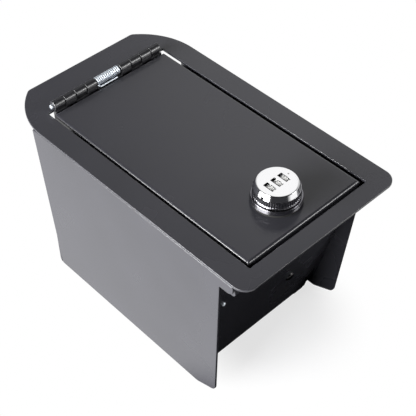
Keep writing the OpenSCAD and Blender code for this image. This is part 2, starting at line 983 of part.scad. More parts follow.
// Screw with a cross slot, driven up into the spindle
module cam_screw() {
    head_top = -cam_top - cam_t - cam_washer_h;
    slot_w = 0.9;
    slot_depth = 1;
    color(zinc)
        at_lock()
            difference() {
                union() {
                    translate([0, 0, head_top - screw_head_h])
                        cylinder(r1 = screw_head_r - 0.8, r2 = screw_head_r, h = screw_head_h, $fn = small);
                    translate([0, 0, head_top])
                        cylinder(r = screw_r, h = screw_len - over, $fn = small);
                }
                for (a = [0, 90])
                    rotate([0, 0, a])
                        translate([-screw_r, -slot_w / 2, head_top - screw_head_h - over])
                            cube([2 * screw_r, slot_w, slot_depth + over]);
            }
}

flange_plate();
left_side_plate();
right_side_plate();
front_panel();
back_panel();
bottom_panel();
latch_shelf();
panel_rivets();
cable_plug();
hinge_body_leaf();
hinge_rivets();
hinge_pin();
hinge_spring();
lid_bumpers();
lid_panel();
hinge_lid_leaf();
lock_gasket();
lock_bezel();
lock_barrel();
lock_washer();
lock_nut();
lock_knob();
index_mark();
dial_axle();
dial_wheel_1();
dial_wheel_2();
dial_wheel_3();
lock_spindle();
lock_cam();
cam_washer();
cam_screw();
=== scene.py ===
"""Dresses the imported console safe: powder-coated sheet, enamelled hinge, zinc spring and a chrome dial lock.

Shapes are worked out in millimetres, with Y counted from the flange's front edge and Z from its top face.
"""

import math

import bpy
import numpy as np
from mathutils import Matrix, Vector
from mathutils.geometry import tessellate_polygon


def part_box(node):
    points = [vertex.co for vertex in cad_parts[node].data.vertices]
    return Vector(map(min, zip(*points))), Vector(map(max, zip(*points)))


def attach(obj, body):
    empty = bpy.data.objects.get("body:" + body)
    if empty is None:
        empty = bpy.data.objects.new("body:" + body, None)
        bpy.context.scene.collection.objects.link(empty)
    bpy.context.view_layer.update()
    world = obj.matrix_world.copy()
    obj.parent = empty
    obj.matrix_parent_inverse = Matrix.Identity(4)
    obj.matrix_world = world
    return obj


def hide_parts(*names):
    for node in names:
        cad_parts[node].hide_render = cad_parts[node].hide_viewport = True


bl_info = {
    "name": "Console safe looks",
    "version": (1, 0, 0),
    "blender": (4, 5, 0),
    "location": "View3D > Sidebar > Safe",
    "description": "Builds a console safe's visible sheets, hinge, lock and studio round its packed frame",
    "category": "Object",
}

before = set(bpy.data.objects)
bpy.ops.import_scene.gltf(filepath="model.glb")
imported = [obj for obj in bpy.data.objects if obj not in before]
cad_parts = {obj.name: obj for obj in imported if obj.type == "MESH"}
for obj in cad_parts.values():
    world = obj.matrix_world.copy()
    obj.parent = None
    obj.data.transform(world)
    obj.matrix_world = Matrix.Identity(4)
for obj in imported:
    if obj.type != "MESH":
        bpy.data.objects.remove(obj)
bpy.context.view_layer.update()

MM = 0.001
FLANGE_LOW, FLANGE_HIGH = (np.array(corner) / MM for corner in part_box("flange_plate"))
FRONT_Y, TOP_Z = FLANGE_LOW[1], FLANGE_HIGH[2]
HALF_W = FLANGE_HIGH[0]
FLANGE_LEN = FLANGE_HIGH[1] - FRONT_Y
SHEET = TOP_Z - FLANGE_LOW[2]


def cad_box(node):
    """A CAD node's lowest and highest corner in millimetres, from the flange's front edge and top face."""
    return [np.array(corner) / MM - (0, FRONT_Y, TOP_Z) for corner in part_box(node)]


# The lid and its opening
LID_LOW, LID_HIGH = cad_box("lid_panel")
LID_SETBACK, SIDE_GAP, FRONT_GAP, REAR_GAP = 0.6, 2.2, 3.3, 3.8
LID_Y0, LID_Y1 = LID_LOW[1] + LID_SETBACK, LID_HIGH[1]
LID_HALF_W, LID_LIP = LID_HIGH[0], -LID_LOW[2]
OPEN_Y0, OPEN_Y1 = LID_Y0 - FRONT_GAP, LID_Y1 + REAR_GAP
OPEN_HALF_W = LID_HALF_W + SIDE_GAP

# The body: the side plates lean in, the front panel's face runs from its top line back to the foot, and the
# back panel's outer face is upright
SIDE_LEAN = math.radians(2.69)
PANEL_TOP_Y, PANEL_TOP_Z, PANEL_FOOT_Y = 27.0, -12.0, 63.8
FRONT_LEAN = math.atan((PANEL_FOOT_Y - PANEL_TOP_Y) / (TOP_Z + PANEL_TOP_Z))
BACK_Y = LID_Y1 + 0.4
CORNER_R, SEAM = 0.8, 0.1

# The hinge: its axis, the leaves' thickness, a knuckle's share of the length, and half the coil's space
_, HINGE_Y, HINGE_Z = np.mean(cad_box("hinge_pin"), 0)
LEAF, KNUCKLE, COIL_HALF_W = 1.4, 10.3, 11.8
LEAF_HALF_W = COIL_HALF_W + 4 * KNUCKLE

# The lock: the knob, its mark, and the wheels' axis below the knob's top
_, LOCK_Y, _ = np.mean(cad_box("lock_knob"), 0)
KNOB_LOW, KNOB_TOP = (corner[2] for corner in cad_box("lock_knob"))
MARK_X, MARK_Y, _ = np.mean(cad_box("index_mark"), 0)
MARK_DEEP = 0.5
WHEEL_PITCH = np.mean(cad_box("dial_wheel_3"), 0)[0]
WHEEL_DEPTH, WHEEL_R = 5.8, 5.5
WHEEL_Z = KNOB_TOP - WHEEL_DEPTH

# Turns a shape whose axis is Z so that its axis is X
ALONG_X = ((0, 0, 1), (1, 0, 0), (0, 1, 0))


def linear(hex_colour):
    """Turns an sRGB hex colour into linear red, green, blue and alpha."""
    part = np.array([int(hex_colour[i : i + 2], 16) for i in (1, 3, 5)]) / 255
    low = part / 12.92
    high = ((part + 0.055) / 1.055) ** 2.4
    return (*np.where(part <= 0.04045, low, high).tolist(), 1.0)


class SafeSizes(bpy.types.PropertyGroup):
    """Small sizes that only the looks use."""

    edge: bpy.props.FloatProperty(
        name="Sheet edge", description="Radius of the coated sheet's edges in millimetres",
        default=0.4, min=0.1, max=0.8
    )
    fold: bpy.props.FloatProperty(
        name="Lid fold", description="Outside radius of the lid's folds in millimetres",
        default=2.4, min=1.5, max=2.8
    )
    ridges: bpy.props.IntProperty(
        name="Knob ridges", description="Number of ridges round the knob", default=60, min=40, max=72
    )
    digit: bpy.props.FloatProperty(
        name="Digit height", description="Height of a wheel's digits in millimetres",
        default=2.3, min=1.5, max=2.8
    )


class SafeFinish(bpy.types.PropertyGroup):
    """Colours of the finishes."""

    paint: bpy.props.FloatVectorProperty(
        name="Powder coat", description="Colour of the satin black powder coat", subtype="COLOR", size=4,
        min=0, max=1, default=linear("#323237")
    )
    enamel: bpy.props.FloatVectorProperty(
        name="Hinge enamel", description="Colour of the hinge's gloss enamel", subtype="COLOR", size=4,
        min=0, max=1, default=linear("#29292c")
    )
    zinc: bpy.props.FloatVectorProperty(
        name="Zinc plate", description="Colour of the spring, pin and rivets", subtype="COLOR", size=4,
        min=0, max=1, default=linear("#eaf1f8")
    )
    chrome: bpy.props.FloatVectorProperty(
        name="Chrome", description="Colour of the knob's plate", subtype="COLOR", size=4,
        min=0, max=1, default=linear("#fafafb")
    )


class SafeStudio(bpy.types.PropertyGroup):
    """Camera and light."""

    lens: bpy.props.FloatProperty(
        name="Lens", description="Focal length of the camera", subtype="DISTANCE_CAMERA",
        default=86.69, min=20, max=200
    )
    azimuth: bpy.props.FloatProperty(
        name="Azimuth", description="Way round the safe that the camera looks", subtype="ANGLE",
        default=math.radians(-43.1026)
    )
    elevation: bpy.props.FloatProperty(
        name="Elevation", description="Height of the camera above the horizon", subtype="ANGLE",
        default=math.radians(45.7499)
    )
    roll: bpy.props.FloatProperty(
        name="Roll", description="Turn of the camera about its own axis", subtype="ANGLE",
        default=math.radians(0.6408)
    )
    camera_place: bpy.props.FloatVectorProperty(
        name="Camera", description="Place of the camera", subtype="XYZ", unit="LENGTH",
        default=(-0.3644045, -0.404389, 0.6451773)
    )
    floor: bpy.props.FloatVectorProperty(
        name="Table", description="Colour of the table", subtype="COLOR", size=4, min=0, max=1,
        default=linear("#f4f4f6")
    )


# Surfaces


def placed(points):
    """Turns millimetres from the flange's front edge and top face into metres in the safe's frame."""
    return (np.asarray(points, float) + [0, FRONT_Y, TOP_Z]) * MM


def grid(rows, cols, wrap_rows=False, wrap_cols=False):
    """Corner numbers of a grid's quads, with rows x cols points. A wrapped direction closes on itself."""
    r = np.arange(rows if wrap_rows else rows - 1)
    c = np.arange(cols if wrap_cols else cols - 1)
    i, j = (a.ravel() for a in np.meshgrid(r, c, indexing="ij"))
    k, m = (i + 1) % rows, (j + 1) % cols
    return np.stack([i * cols + j, k * cols + j, k * cols + m, i * cols + m], -1)


def outward(points, faces):
    """Turns all faces round if the volume that they enclose is negative.

    The volume is the sum over all triangles of the tetrahedron between the triangle and the origin.
    """
    total = 0.0
    for f in faces:
        for i in range(1, f.shape[1] - 1):
            a, b, c = points[f[:, 0]], points[f[:, i]], points[f[:, i + 1]]
            total += np.einsum("ij,ij->", a, np.cross(b, c))
    return points, faces if total > 0 else [f[:, ::-1] for f in faces]


def joined(*shells):
    """Several shells as one list of points and faces."""
    points, faces, start = [], [], 0
    for p, f in shells:
        points.append(p)
        faces += [a + start for a in f]
        start += len(p)
    return np.concatenate(points), faces


def arcs(*pieces):
    """Outline of circular arcs (x, y, radius, from, to, steps) in degrees, with straight runs between them.

    A point is the centre plus the radius times its direction, and the direction is its outward normal.
    """
    points, normals = [], []
    for x, y, radius, start, end, steps in pieces:
        a = np.radians(np.linspace(start, end, steps + 1))
        ray = np.stack([np.cos(a), np.sin(a)], -1)
        points.append(np.array([x, y]) + radius * ray)
        normals.append(ray)
    return np.concatenate(points), np.concatenate(normals)


def rounded(corners, radii, steps):
    """Anticlockwise outline with an arc at each corner.

    The arc's centre lies on the corner's bisector, radius / sin(half the angle) from the corner, and its
    points turn evenly between the tangent points.
    """
    corners = np.asarray(corners, float)
    before, after = np.roll(corners, 1, 0), np.roll(corners, -1, 0)
    u = before - corners
    w = after - corners
    u /= np.linalg.norm(u, axis=1, keepdims=True)
    w /= np.linalg.norm(w, axis=1, keepdims=True)
    half = np.arccos(np.clip((u * w).sum(1), -1, 1)) / 2
    r = np.broadcast_to(np.asarray(radii, float), half.shape)
    middle = (u + w) / np.linalg.norm(u + w, axis=1, keepdims=True)
    centre = corners + middle * (r / np.sin(half))[:, None]
    ends = [corners + d * (r / np.tan(half))[:, None] - centre for d in (u, w)]
    start, end = (np.arctan2(e[:, 1], e[:, 0]) for e in ends)
    turn = (end - start + math.pi) % (2 * math.pi) - math.pi
    a = start[:, None] + turn[:, None] * np.linspace(0, 1, steps + 1)
    ray = np.stack([np.cos(a), np.sin(a)], -1)
    bulge = np.sign(turn)[:, None, None]
    points = centre[:, None] + r[:, None, None] * ray
    return points.reshape(-1, 2), (ray * bulge).reshape(-1, 2)


def box_outline(x0, y0, x1, y1, radius, steps=5):
    """Rounded rectangle: four straight sides with a quarter circle at each corner."""
    return rounded([(x0, y0), (x1, y0), (x1, y1), (x0, y1)], radius, steps)


def hole(outline):
    """An outline as a hole: run the other way, with normals into the hole."""
    points, normals = outline
    return points[::-1], -normals[::-1]


def circle(x, y, radius, steps):
    """Full circle as an outline: the centre plus the radius times the direction of each angle."""
    a = np.linspace(0, 2 * math.pi, steps, endpoint=False)
    ray = np.stack([np.cos(a), np.sin(a)], -1)
    return np.array([x, y]) + radius * ray, ray


def filled(outlines):
    """Triangles that fill the first outline outside the others, anticlockwise."""
    flat = np.concatenate(outlines)
    found = tessellate_polygon([[Vector((*p, 0)) for p in o] for o in outlines])
    tri = np.array(found, int)
    a, b, c = flat[tri[:, 0]], flat[tri[:, 1]], flat[tri[:, 2]]
    ab, ac = b - a, c - a
    area = ab[:, 0] * ac[:, 1] - ab[:, 1] * ac[:, 0]
    tri = np.where((area > 0)[:, None], tri, tri[:, ::-1])
    return tri[np.abs(area) > 1e-9]


def sheet(outlines, thick, edge, origin, across, up):
    """Flat sheet with rounded edges, from an outline and the holes in it.

    Each outline carries one profile: at angle t a point stands edge * (1 - sin t) inside the outline and
    edge * (1 - cos t) below the face, and the same again above the back. The faces between are flat. The
    outline's x runs along across and its y along up, and the sheet lies behind them.
    """
    t = np.linspace(0, math.pi / 2, 4)
    inset = edge * (1 - np.sin(t))
    depth = edge * (1 - np.cos(t))
    inset = np.concatenate([inset, inset[::-1]])
    depth = np.concatenate([depth, thick - depth[::-1]])
    rows = len(inset)
    across, up = np.asarray(across, float), np.asarray(up, float)
    normal = np.cross(across, up)
    points, faces, tops, backs, start = [], [], [], [], 0
    for outline, out in outlines:
        flat = outline - out * inset[:, None, None]
        solid = flat[..., :1] * across + flat[..., 1:] * up - normal * depth[:, None, None]
        points.append(solid.reshape(-1, 3))
        n = len(outline)
        faces.append(grid(rows, n, wrap_cols=True)[:, ::-1] + start)
        tops.append(np.arange(n) + start)
        backs.append(np.arange(n) + start + (rows - 1) * n)
        start += rows * n
    tri = filled([o - d * edge for o, d in outlines])
    faces.append(np.concatenate(tops)[tri])
    faces.append(np.concatenate(backs)[tri[:, ::-1]])
    return outward(np.concatenate(points) + np.asarray(origin, float), faces)


def drawn_across(outline, width, edge, right):
    """An outline in Y and Z drawn out along X, with its right end at the given X."""
    return sheet([outline], width, edge, (right, 0, 0), (0, 1, 0), (0, 0, 1))


def curve_corners(points, radii, steps=4):
    """Open line with an arc at each inner corner, made as the outline's arcs are."""
    points = np.asarray(points, float)
    rounded_points, _ = rounded(points, np.concatenate([[1], radii, [1]]), steps)
    inner = rounded_points.reshape(len(points), -1, 2)[1:-1]
    return np.concatenate([points[:1], inner.reshape(-1, 2), points[-1:]])


def smooth_line(points, steps):
    """Catmull-Rom curve through the points, with steps points to each span.

    Between b and c, with a before and d after, the point at share t of the span is half of
    2 b + (c - a) t + (2 a - 5 b + 4 c - d) t ** 2 + (3 b - a - 3 c + d) t ** 3.
    """
    p = np.concatenate([2 * points[:1] - points[1:2], points, 2 * points[-1:] - points[-2:-1]])
    t = (np.arange(steps) / steps)[None, :, None]
    a, b, c, d = (p[i : len(p) - 3 + i][:, None] for i in range(4))
    curve = 0.5 * (2 * b + (c - a) * t + (2 * a - 5 * b + 4 * c - d) * t**2 + (3 * b - a - 3 * c + d) * t**3)
    return np.concatenate([curve.reshape(-1, 3), points[-1:]])


def lathe(profile, turns, closed=False):
    """Surface of revolution: the profile's (r, h) goes to r cos a, r sin a, h.

    A closed profile makes a ring. An open one starts and ends on the axis, where its rows close in a pole.
    """
    profile = np.asarray(profile, float)
    body = profile if closed else profile[1:-1]
    a = np.linspace(0, 2 * math.pi, turns, endpoint=False)
    r = np.repeat(body[:, :1], turns, 1)
    h = np.repeat(body[:, 1:], turns, 1)
    points = np.stack([r * np.cos(a), r * np.sin(a), h], -1).reshape(-1, 3)
    faces = [grid(len(body), turns, closed, True)]
    if not closed:
        around = np.arange(turns)
        last = (len(body) - 1) * turns
        n = len(points)
        faces.append(np.stack([np.full(turns, n), around, (around + 1) % turns], -1))
        faces.append(np.stack([np.full(turns, n + 1), last + (around + 1) % turns, last + around], -1))
        points = np.concatenate([points, [[0, 0, profile[0, 1]], [0, 0, profile[-1, 1]]]])
    return outward(points, faces)


def turned(shell, matrix=np.eye(3), move=(0, 0, 0)):
    """A shell with its points multiplied by a 3 x 3 matrix and moved, and its faces outward again."""
    points, faces = shell
    return outward(points @ np.asarray(matrix, float).T + move, faces)


def tube(path, radius, sides):
    """Round wire: circles of one radius carried along the path.

    The sideways direction starts square to the path and is carried on without twist by taking out, at each
    point, its part along the path.
    """
    along = np.gradient(path, axis=0)
    along /= np.linalg.norm(along, axis=1, keepdims=True)
    side = np.empty_like(path)
    v = np.cross(along[0], [0.0, 0.3, 1.0])
    for i, t in enumerate(along):
        v = v - (v @ t) * t
        v /= np.linalg.norm(v)
        side[i] = v
    other = np.cross(along, side)
    a = np.linspace(0, 2 * math.pi, sides, endpoint=False)[:, None, None]
    rings = path + radius * (np.cos(a) * side + np.sin(a) * other)
    points = rings.transpose(1, 0, 2).reshape(-1, 3)
    last = (len(path) - 1) * sides
    around = np.arange(sides)
    skin = grid(len(path), sides, wrap_cols=True)[:, ::-1]
    return outward(points, [skin, around[None, :], last + around[None, ::-1]])


# Pieces


def new_mesh(name, points, faces, finishes, face_finish=None):
    """Mesh of a shell in millimetres, with its materials and each face's place in their list."""
    mesh = bpy.data.meshes.new(name)
    mesh.from_pydata(placed(points).tolist(), [], [row for f in faces for row in f.tolist()])
    mesh.validate()
    for finish in finishes:
        mesh.materials.append(finish)
    if face_finish is not None:
        mesh.polygons.foreach_set("material_index", np.asarray(face_finish, np.int32))
    return mesh


def new_object(name, data):
    """Object in the scene, at the origin and unturned."""
    made = bpy.data.objects.new(name, data)
    bpy.context.scene.collection.objects.link(made)
    return made


def make_piece(name, shell, finishes, body, nodes, sharp=40, face_finish=None):
    """Puts a shell into a piece that rides on a body and stands for CAD nodes.

    Faces are shaded smooth up to the sharp angle in degrees, and flat faces keep their own normals by weight
    of area.
    """
    mesh = new_mesh(name, *shell, finishes, face_finish)
    mesh.polygons.foreach_set("use_smooth", np.ones(len(mesh.polygons), bool))
    mesh.set_sharp_from_angle(angle=math.radians(sharp))
    piece = new_object(name, mesh)
    weighted = piece.modifiers.new("Weighted Normal", "WEIGHTED_NORMAL")
    weighted.mode = "FACE_AREA"
    weighted.keep_sharp = True
    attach(piece, body)
    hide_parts(*nodes)
    return piece


def finish_nodes(finish, *nodes):
    """Gives CAD nodes that stay visible their finish."""
    for name in nodes:
        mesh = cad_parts[name].data
        mesh.materials.clear()
        mesh.materials.append(finish)


# Finishes


def add(tree, kind, inputs=(), stops=(), **settings):
    """Adds one node.

    Settings are its properties, and inputs gives a socket a value or what feeds it: a socket, or a node with
    its first output in use. Stops are a colour ramp's places and colours.
    """
    made = tree.nodes.new(kind)
    for name, value in settings.items():
        setattr(made, name, value)
    for (place, colour), stop in zip(stops, made.color_ramp.elements if stops else ()):
        stop.position, stop.color = place, colour
    for key, value in dict(inputs).items():
        if isinstance(value, bpy.types.Node):
            value = next(output for output in value.outputs if output.enabled)
        if isinstance(value, bpy.types.NodeSocket):
            tree.links.new(value, made.inputs[key])
        else:
            made.inputs[key].default_value = value
    return made


def new_finish(name):
    """Empty material, its tree and its Object coordinates."""
    finish = bpy.data.materials.new(name)
    finish.use_nodes = True
    finish.node_tree.nodes.clear()
    return finish, finish.node_tree, add(finish.node_tree, "ShaderNodeTexCoord").outputs["Object"]


def shade(colour, factor):
    """A linear colour made lighter or darker."""
    return (*(min(1.0, c * factor) for c in tuple(colour)[:3]), 1.0)


def grained(name, colours, gloss, grains, relief_mm, skin, span=(0.3, 0.7), strength=0.3, stretch=None):
    """Material whose colour, roughness and height each follow a noise.

    A grain is a noise's width in millimetres and its detail. The colour runs from the first to the second
    over the span of its noise, and the roughness over 0.3 to 0.7 of its own. Skin holds uniform values.
    """
    if name in bpy.data.materials:
        return bpy.data.materials[name]
    finish, tree, where = new_finish(name)
    if stretch:
        where = add(tree, "ShaderNodeMapping", {"Vector": where, "Scale": stretch})
    noise = {}
    for width, detail in dict.fromkeys(grains):
        pattern = {"Vector": where, "Scale": 1000 / width, "Detail": detail}
        noise[width, detail] = add(tree, "ShaderNodeTexNoise", pattern)
    cloud, wear, height = (noise[grain] for grain in grains)
    tint = add(tree, "ShaderNodeValToRGB", {"Fac": cloud}, tuple(zip(span, colours)))
    spread = {"Value": wear, "From Min": 0.3, "From Max": 0.7, "To Min": gloss[0], "To Max": gloss[1]}
    rough = add(tree, "ShaderNodeMapRange", spread)
    bump = add(tree, "ShaderNodeBump", {"Height": height, "Strength": strength, "Distance": relief_mm * MM})
    fed = {"Base Color": tint, "Roughness": rough, "Normal": bump}
    shader = add(tree, "ShaderNodeBsdfPrincipled", {**fed, **skin})
    add(tree, "ShaderNodeOutputMaterial", {"Surface": shader})
    return finish


def powder_coat():
    """Mild steel under satin black polyester powder coat, sprayed dry and baked.

    Baked powder keeps a fine orange peel, with bumps about 0.7 mm across, and varies a little in thickness.
    The eye sees a dark coat with a broad soft sheen.
    """
    colour = bpy.context.scene.safe_finish.paint
    cloud, peel = (60, 3.0), (0.7, 2.0)
    skin = {"IOR": 1.6, "Sheen Weight": 0.05, "Sheen Roughness": 0.5, "Sheen Tint": linear("#dedfee")}
    return grained(
        "Powder_coated_steel_satin_black", (shade(colour, 0.9), shade(colour, 1.1)), (0.23, 0.29),
        (cloud, cloud, peel), 0.03, skin, strength=0.25,
    )


def hinge_enamel():
    """Steel knuckles under gloss black stoving enamel, dipped and baked.

    The coat runs into waves about 2.5 mm wide, so the eye sees deep black with slightly wavy bands.
    """
    colour = bpy.context.scene.safe_finish.enamel
    wave, pits = (2.5, 2.0), (0.4, 1.0)
    return grained(
        "Stoved_enamel_gloss_black", (shade(colour, 0.8), shade(colour, 1.25)), (0.26, 0.34),
        (wave, pits, wave), 0.12, {"IOR": 1.8}, span=(0.35, 0.7),
    )


def metal(name, colour, gloss, grain_mm, relief_mm, dull=0.85, stretch=None):
    """Plated metal with one grain. Dull is its darker shade's factor."""
    colours = (shade(colour, dull), shade(colour, 1.0))
    grains = ((grain_mm, 3.0),) * 3
    return grained(name, colours, gloss, grains, relief_mm, {"Metallic": 1.0}, (0.3, 0.65), stretch=stretch)


def zinc_plate():
    """Steel plated with clear-passivated zinc in a barrel: bright, faintly blue, with a fine haze."""
    colour = bpy.context.scene.safe_finish.zinc
    return metal("Clear_zinc_plated_steel", colour, (0.4, 0.46), 0.5, 0.001, 0.98)


def bright_chrome():
    """Zinc die-casting, buffed and chrome plated: a clear mirror with hair-fine wipe marks along one way."""
    colour = bpy.context.scene.safe_finish.chrome
    return metal("Bright_chrome_plate", colour, (0.03, 0.08), 1.2, 0.002, 0.97, (1.0, 6.0, 1.0))


def black_zinc():
    """Dark grey zinc with a dull shine, used as painted shade: it darkens the lock's hollows and the parts
    under the knob.
    """
    return metal("Dark_zinc_painted_shade", linear("#35363a"), (0.38, 0.5), 0.5, 0.01)


def satin_chrome():
    """Chrome plate over a bead-blasted casting: grey, with soft broad reflections."""
    return metal("Satin_chrome_plate", linear("#949398"), (0.19, 0.25), 0.3, 0.003)


def polymer(name, base, rough, grain_mm, relief_mm, ior, cloud=0.2):
    """Moulded or painted material with one grain, which moves its roughness by 15 percent each way."""
    colours = (shade(base, 1 - cloud), shade(base, 1 + cloud))
    gloss = (rough * 0.85, rough * 1.15)
    return grained(name, colours, gloss, ((grain_mm, 2.0),) * 3, relief_mm, {"IOR": ior})


def moulded_rubber():
    """Nitrile rubber, compression moulded: black, matt and slightly grainy."""
    return polymer("Moulded_nitrile_rubber", linear("#1b1b1b"), 0.75, 0.4, 0.02, 1.52)


def gloss_nylon():
    """Nylon plug, injection moulded in a polished tool: black and shiny."""
    return polymer("Moulded_gloss_nylon", linear("#101011"), 0.12, 1.5, 0.01, 1.53)


def white_lacquer():
    """Turned brass wheels under baked white lacquer: clean, bright and softly shining."""
    return polymer("White_lacquered_brass", linear("#f0f0ee"), 0.35, 0.6, 0.004, 1.5, 0.05)


def filled_paint(name, hex_colour):
    """Enamel wiped into engraved marks: flat in sheen, a little uneven."""
    return polymer(name, linear(hex_colour), 0.5, 0.3, 0.005, 1.5)


# Sheets


class SAFE_OT_flange(bpy.types.Operator):
    """Flat flange with small front corners, large rear corners and the lid opening"""

    bl_idname = "safe.flange"
    bl_label = "Flange"

    def execute(self, context):
        edge = context.scene.safe_sizes.edge
        setback, front_r, rear_r, tip_r, rear_drop = 1.2, 11.0, 58.0, 5.0, 47.0
        arc_x, arc_y = HALF_W - rear_r, FLANGE_LEN - rear_drop
        tip_y = FLANGE_LEN - tip_r
        tip_x = arc_x + math.sqrt((rear_r - tip_r) ** 2 - (tip_y - arc_y) ** 2)
        turn = math.degrees(math.atan2(tip_y - arc_y, tip_x - arc_x))
        right = arcs(
            (HALF_W - front_r, setback + front_r, front_r, -90, 0, 16),
            (arc_x, arc_y, rear_r, 0, turn, 28),
            (tip_x, tip_y, tip_r, turn, 90, 6),
        )
        outline = [np.concatenate([half, half[::-1] * (-1, 1)]) for half in right]
        opening_r = edge * 1.6
        opening = hole(box_outline(-OPEN_HALF_W, OPEN_Y0, OPEN_HALF_W, OPEN_Y1, opening_r))
        shell = sheet([outline, opening], SHEET, edge, (0, 0, 0), (1, 0, 0), (0, 1, 0))
        make_piece("flange", shell, [powder_coat()], "case", ["flange_plate"])
        return {"FINISHED"}


def side_shell(setback, edge):
    """Right side plate: an outline in the leaning plane, with rounded edges.

    Its front runs down the ear, back under it to the wing, down the wing and back along a ramp to the foot.
    The setback moves the wing and the ramp.
    """
    gap, inward, rear_gap = 0.35, 0.12, 0.3
    ear_y, ear_z, ear_r = 12.6, -10.0, 6.0
    wing_y, ramp_y, foot_y = (y + setback for y in (25.3, 36.6, 56.5))
    low = -(TOP_Z - SHEET) / math.cos(SIDE_LEAN)
    ramp_z, ramp_r = low + 8.5, 7.0
    top, rear = -gap, LID_Y1 - rear_gap
    corners = [
        (rear, top), (ear_y, top), (ear_y, ear_z),
        (wing_y, ear_z), (ramp_y, ramp_z), (foot_y, low), (rear, low),
    ]
    outline = rounded(corners, [CORNER_R, CORNER_R, ear_r, CORNER_R, ramp_r, ramp_r, CORNER_R], 8)
    up = (math.sin(SIDE_LEAN), 0, math.cos(SIDE_LEAN))
    return sheet([outline], SHEET, edge, (HALF_W - inward, 0, -SHEET), (0, 1, 0), up)


class SAFE_OT_sides(bpy.types.Operator):
    """Leaning side plates, the right one set back a little in front"""

    bl_idname = "safe.sides"
    bl_label = "Side plates"

    def execute(self, context):
        edge = context.scene.safe_sizes.edge
        right_setback = 2.2
        left = turned(side_shell(0, edge), np.diag([-1.0, 1.0, 1.0]))
        right = side_shell(right_setback, edge)
        for side, shell in (("left", left), ("right", right)):
            make_piece(f"{side}_side", shell, [powder_coat()], "case", [f"{side}_side_plate"])
        return {"FINISHED"}


def side_in(z):
    """Half width between the side plates at a height, less a seam."""
    return HALF_W - (-z - SHEET) * math.tan(SIDE_LEAN) - SHEET / math.cos(SIDE_LEAN) - SEAM


class SAFE_OT_panels(bpy.types.Operator):
    """Sloping front panel, upright back panel, and the coat of the bottom panel and the latch shelf"""

    bl_idname = "safe.panels"
    bl_label = "Front and back panels"

    def execute(self, context):
        self.front(context.scene.safe_sizes.edge)
        self.back(context.scene.safe_sizes.edge)
        finish_nodes(powder_coat(), "bottom_panel", "latch_shelf")
        return {"FINISHED"}

    def front(self, edge):
        """Outline in the sloping plane, as wide as the side plates allow, and narrower near its foot."""
        top_z, rise, foot = -14.0, 7.0, 61.0
        fall = 1 / math.cos(FRONT_LEAN)
        top, low = (top_z - PANEL_TOP_Z) * fall, -(TOP_Z + PANEL_TOP_Z) * fall
        relief = low + rise * fall
        wide, narrow = side_in(top_z), side_in(rise - TOP_Z)
        corners = [
            (-foot, low), (foot, low), (foot, relief), (narrow, relief),
            (wide, top), (-wide, top), (-narrow, relief), (-foot, relief),
        ]
        up = (0, -math.sin(FRONT_LEAN), math.cos(FRONT_LEAN))
        place = (0, PANEL_TOP_Y, PANEL_TOP_Z)
        shell = sheet([rounded(corners, CORNER_R, 4)], SHEET, edge, place, (1, 0, 0), up)
        make_piece("front_sheet", shell, [powder_coat()], "case", ["front_panel"])

    def back(self, edge):
        """Upright outline with its shoulders cut away beside the hinge."""
        low, shoulder, top = 4 - TOP_Z, -24.0, -10.5
        wide, narrow = side_in(shoulder), side_in(low)
        corners = [
            (-narrow, low), (narrow, low), (wide, shoulder), (OPEN_HALF_W, shoulder),
            (OPEN_HALF_W, top), (-OPEN_HALF_W, top), (-OPEN_HALF_W, shoulder), (-wide, shoulder),
        ]
        place = (0, BACK_Y - SHEET, 0)
        shell = sheet([rounded(corners, CORNER_R, 4)], SHEET, edge, place, (1, 0, 0), (0, 0, 1))
        make_piece("back_sheet", shell, [powder_coat()], "case", ["back_panel"])


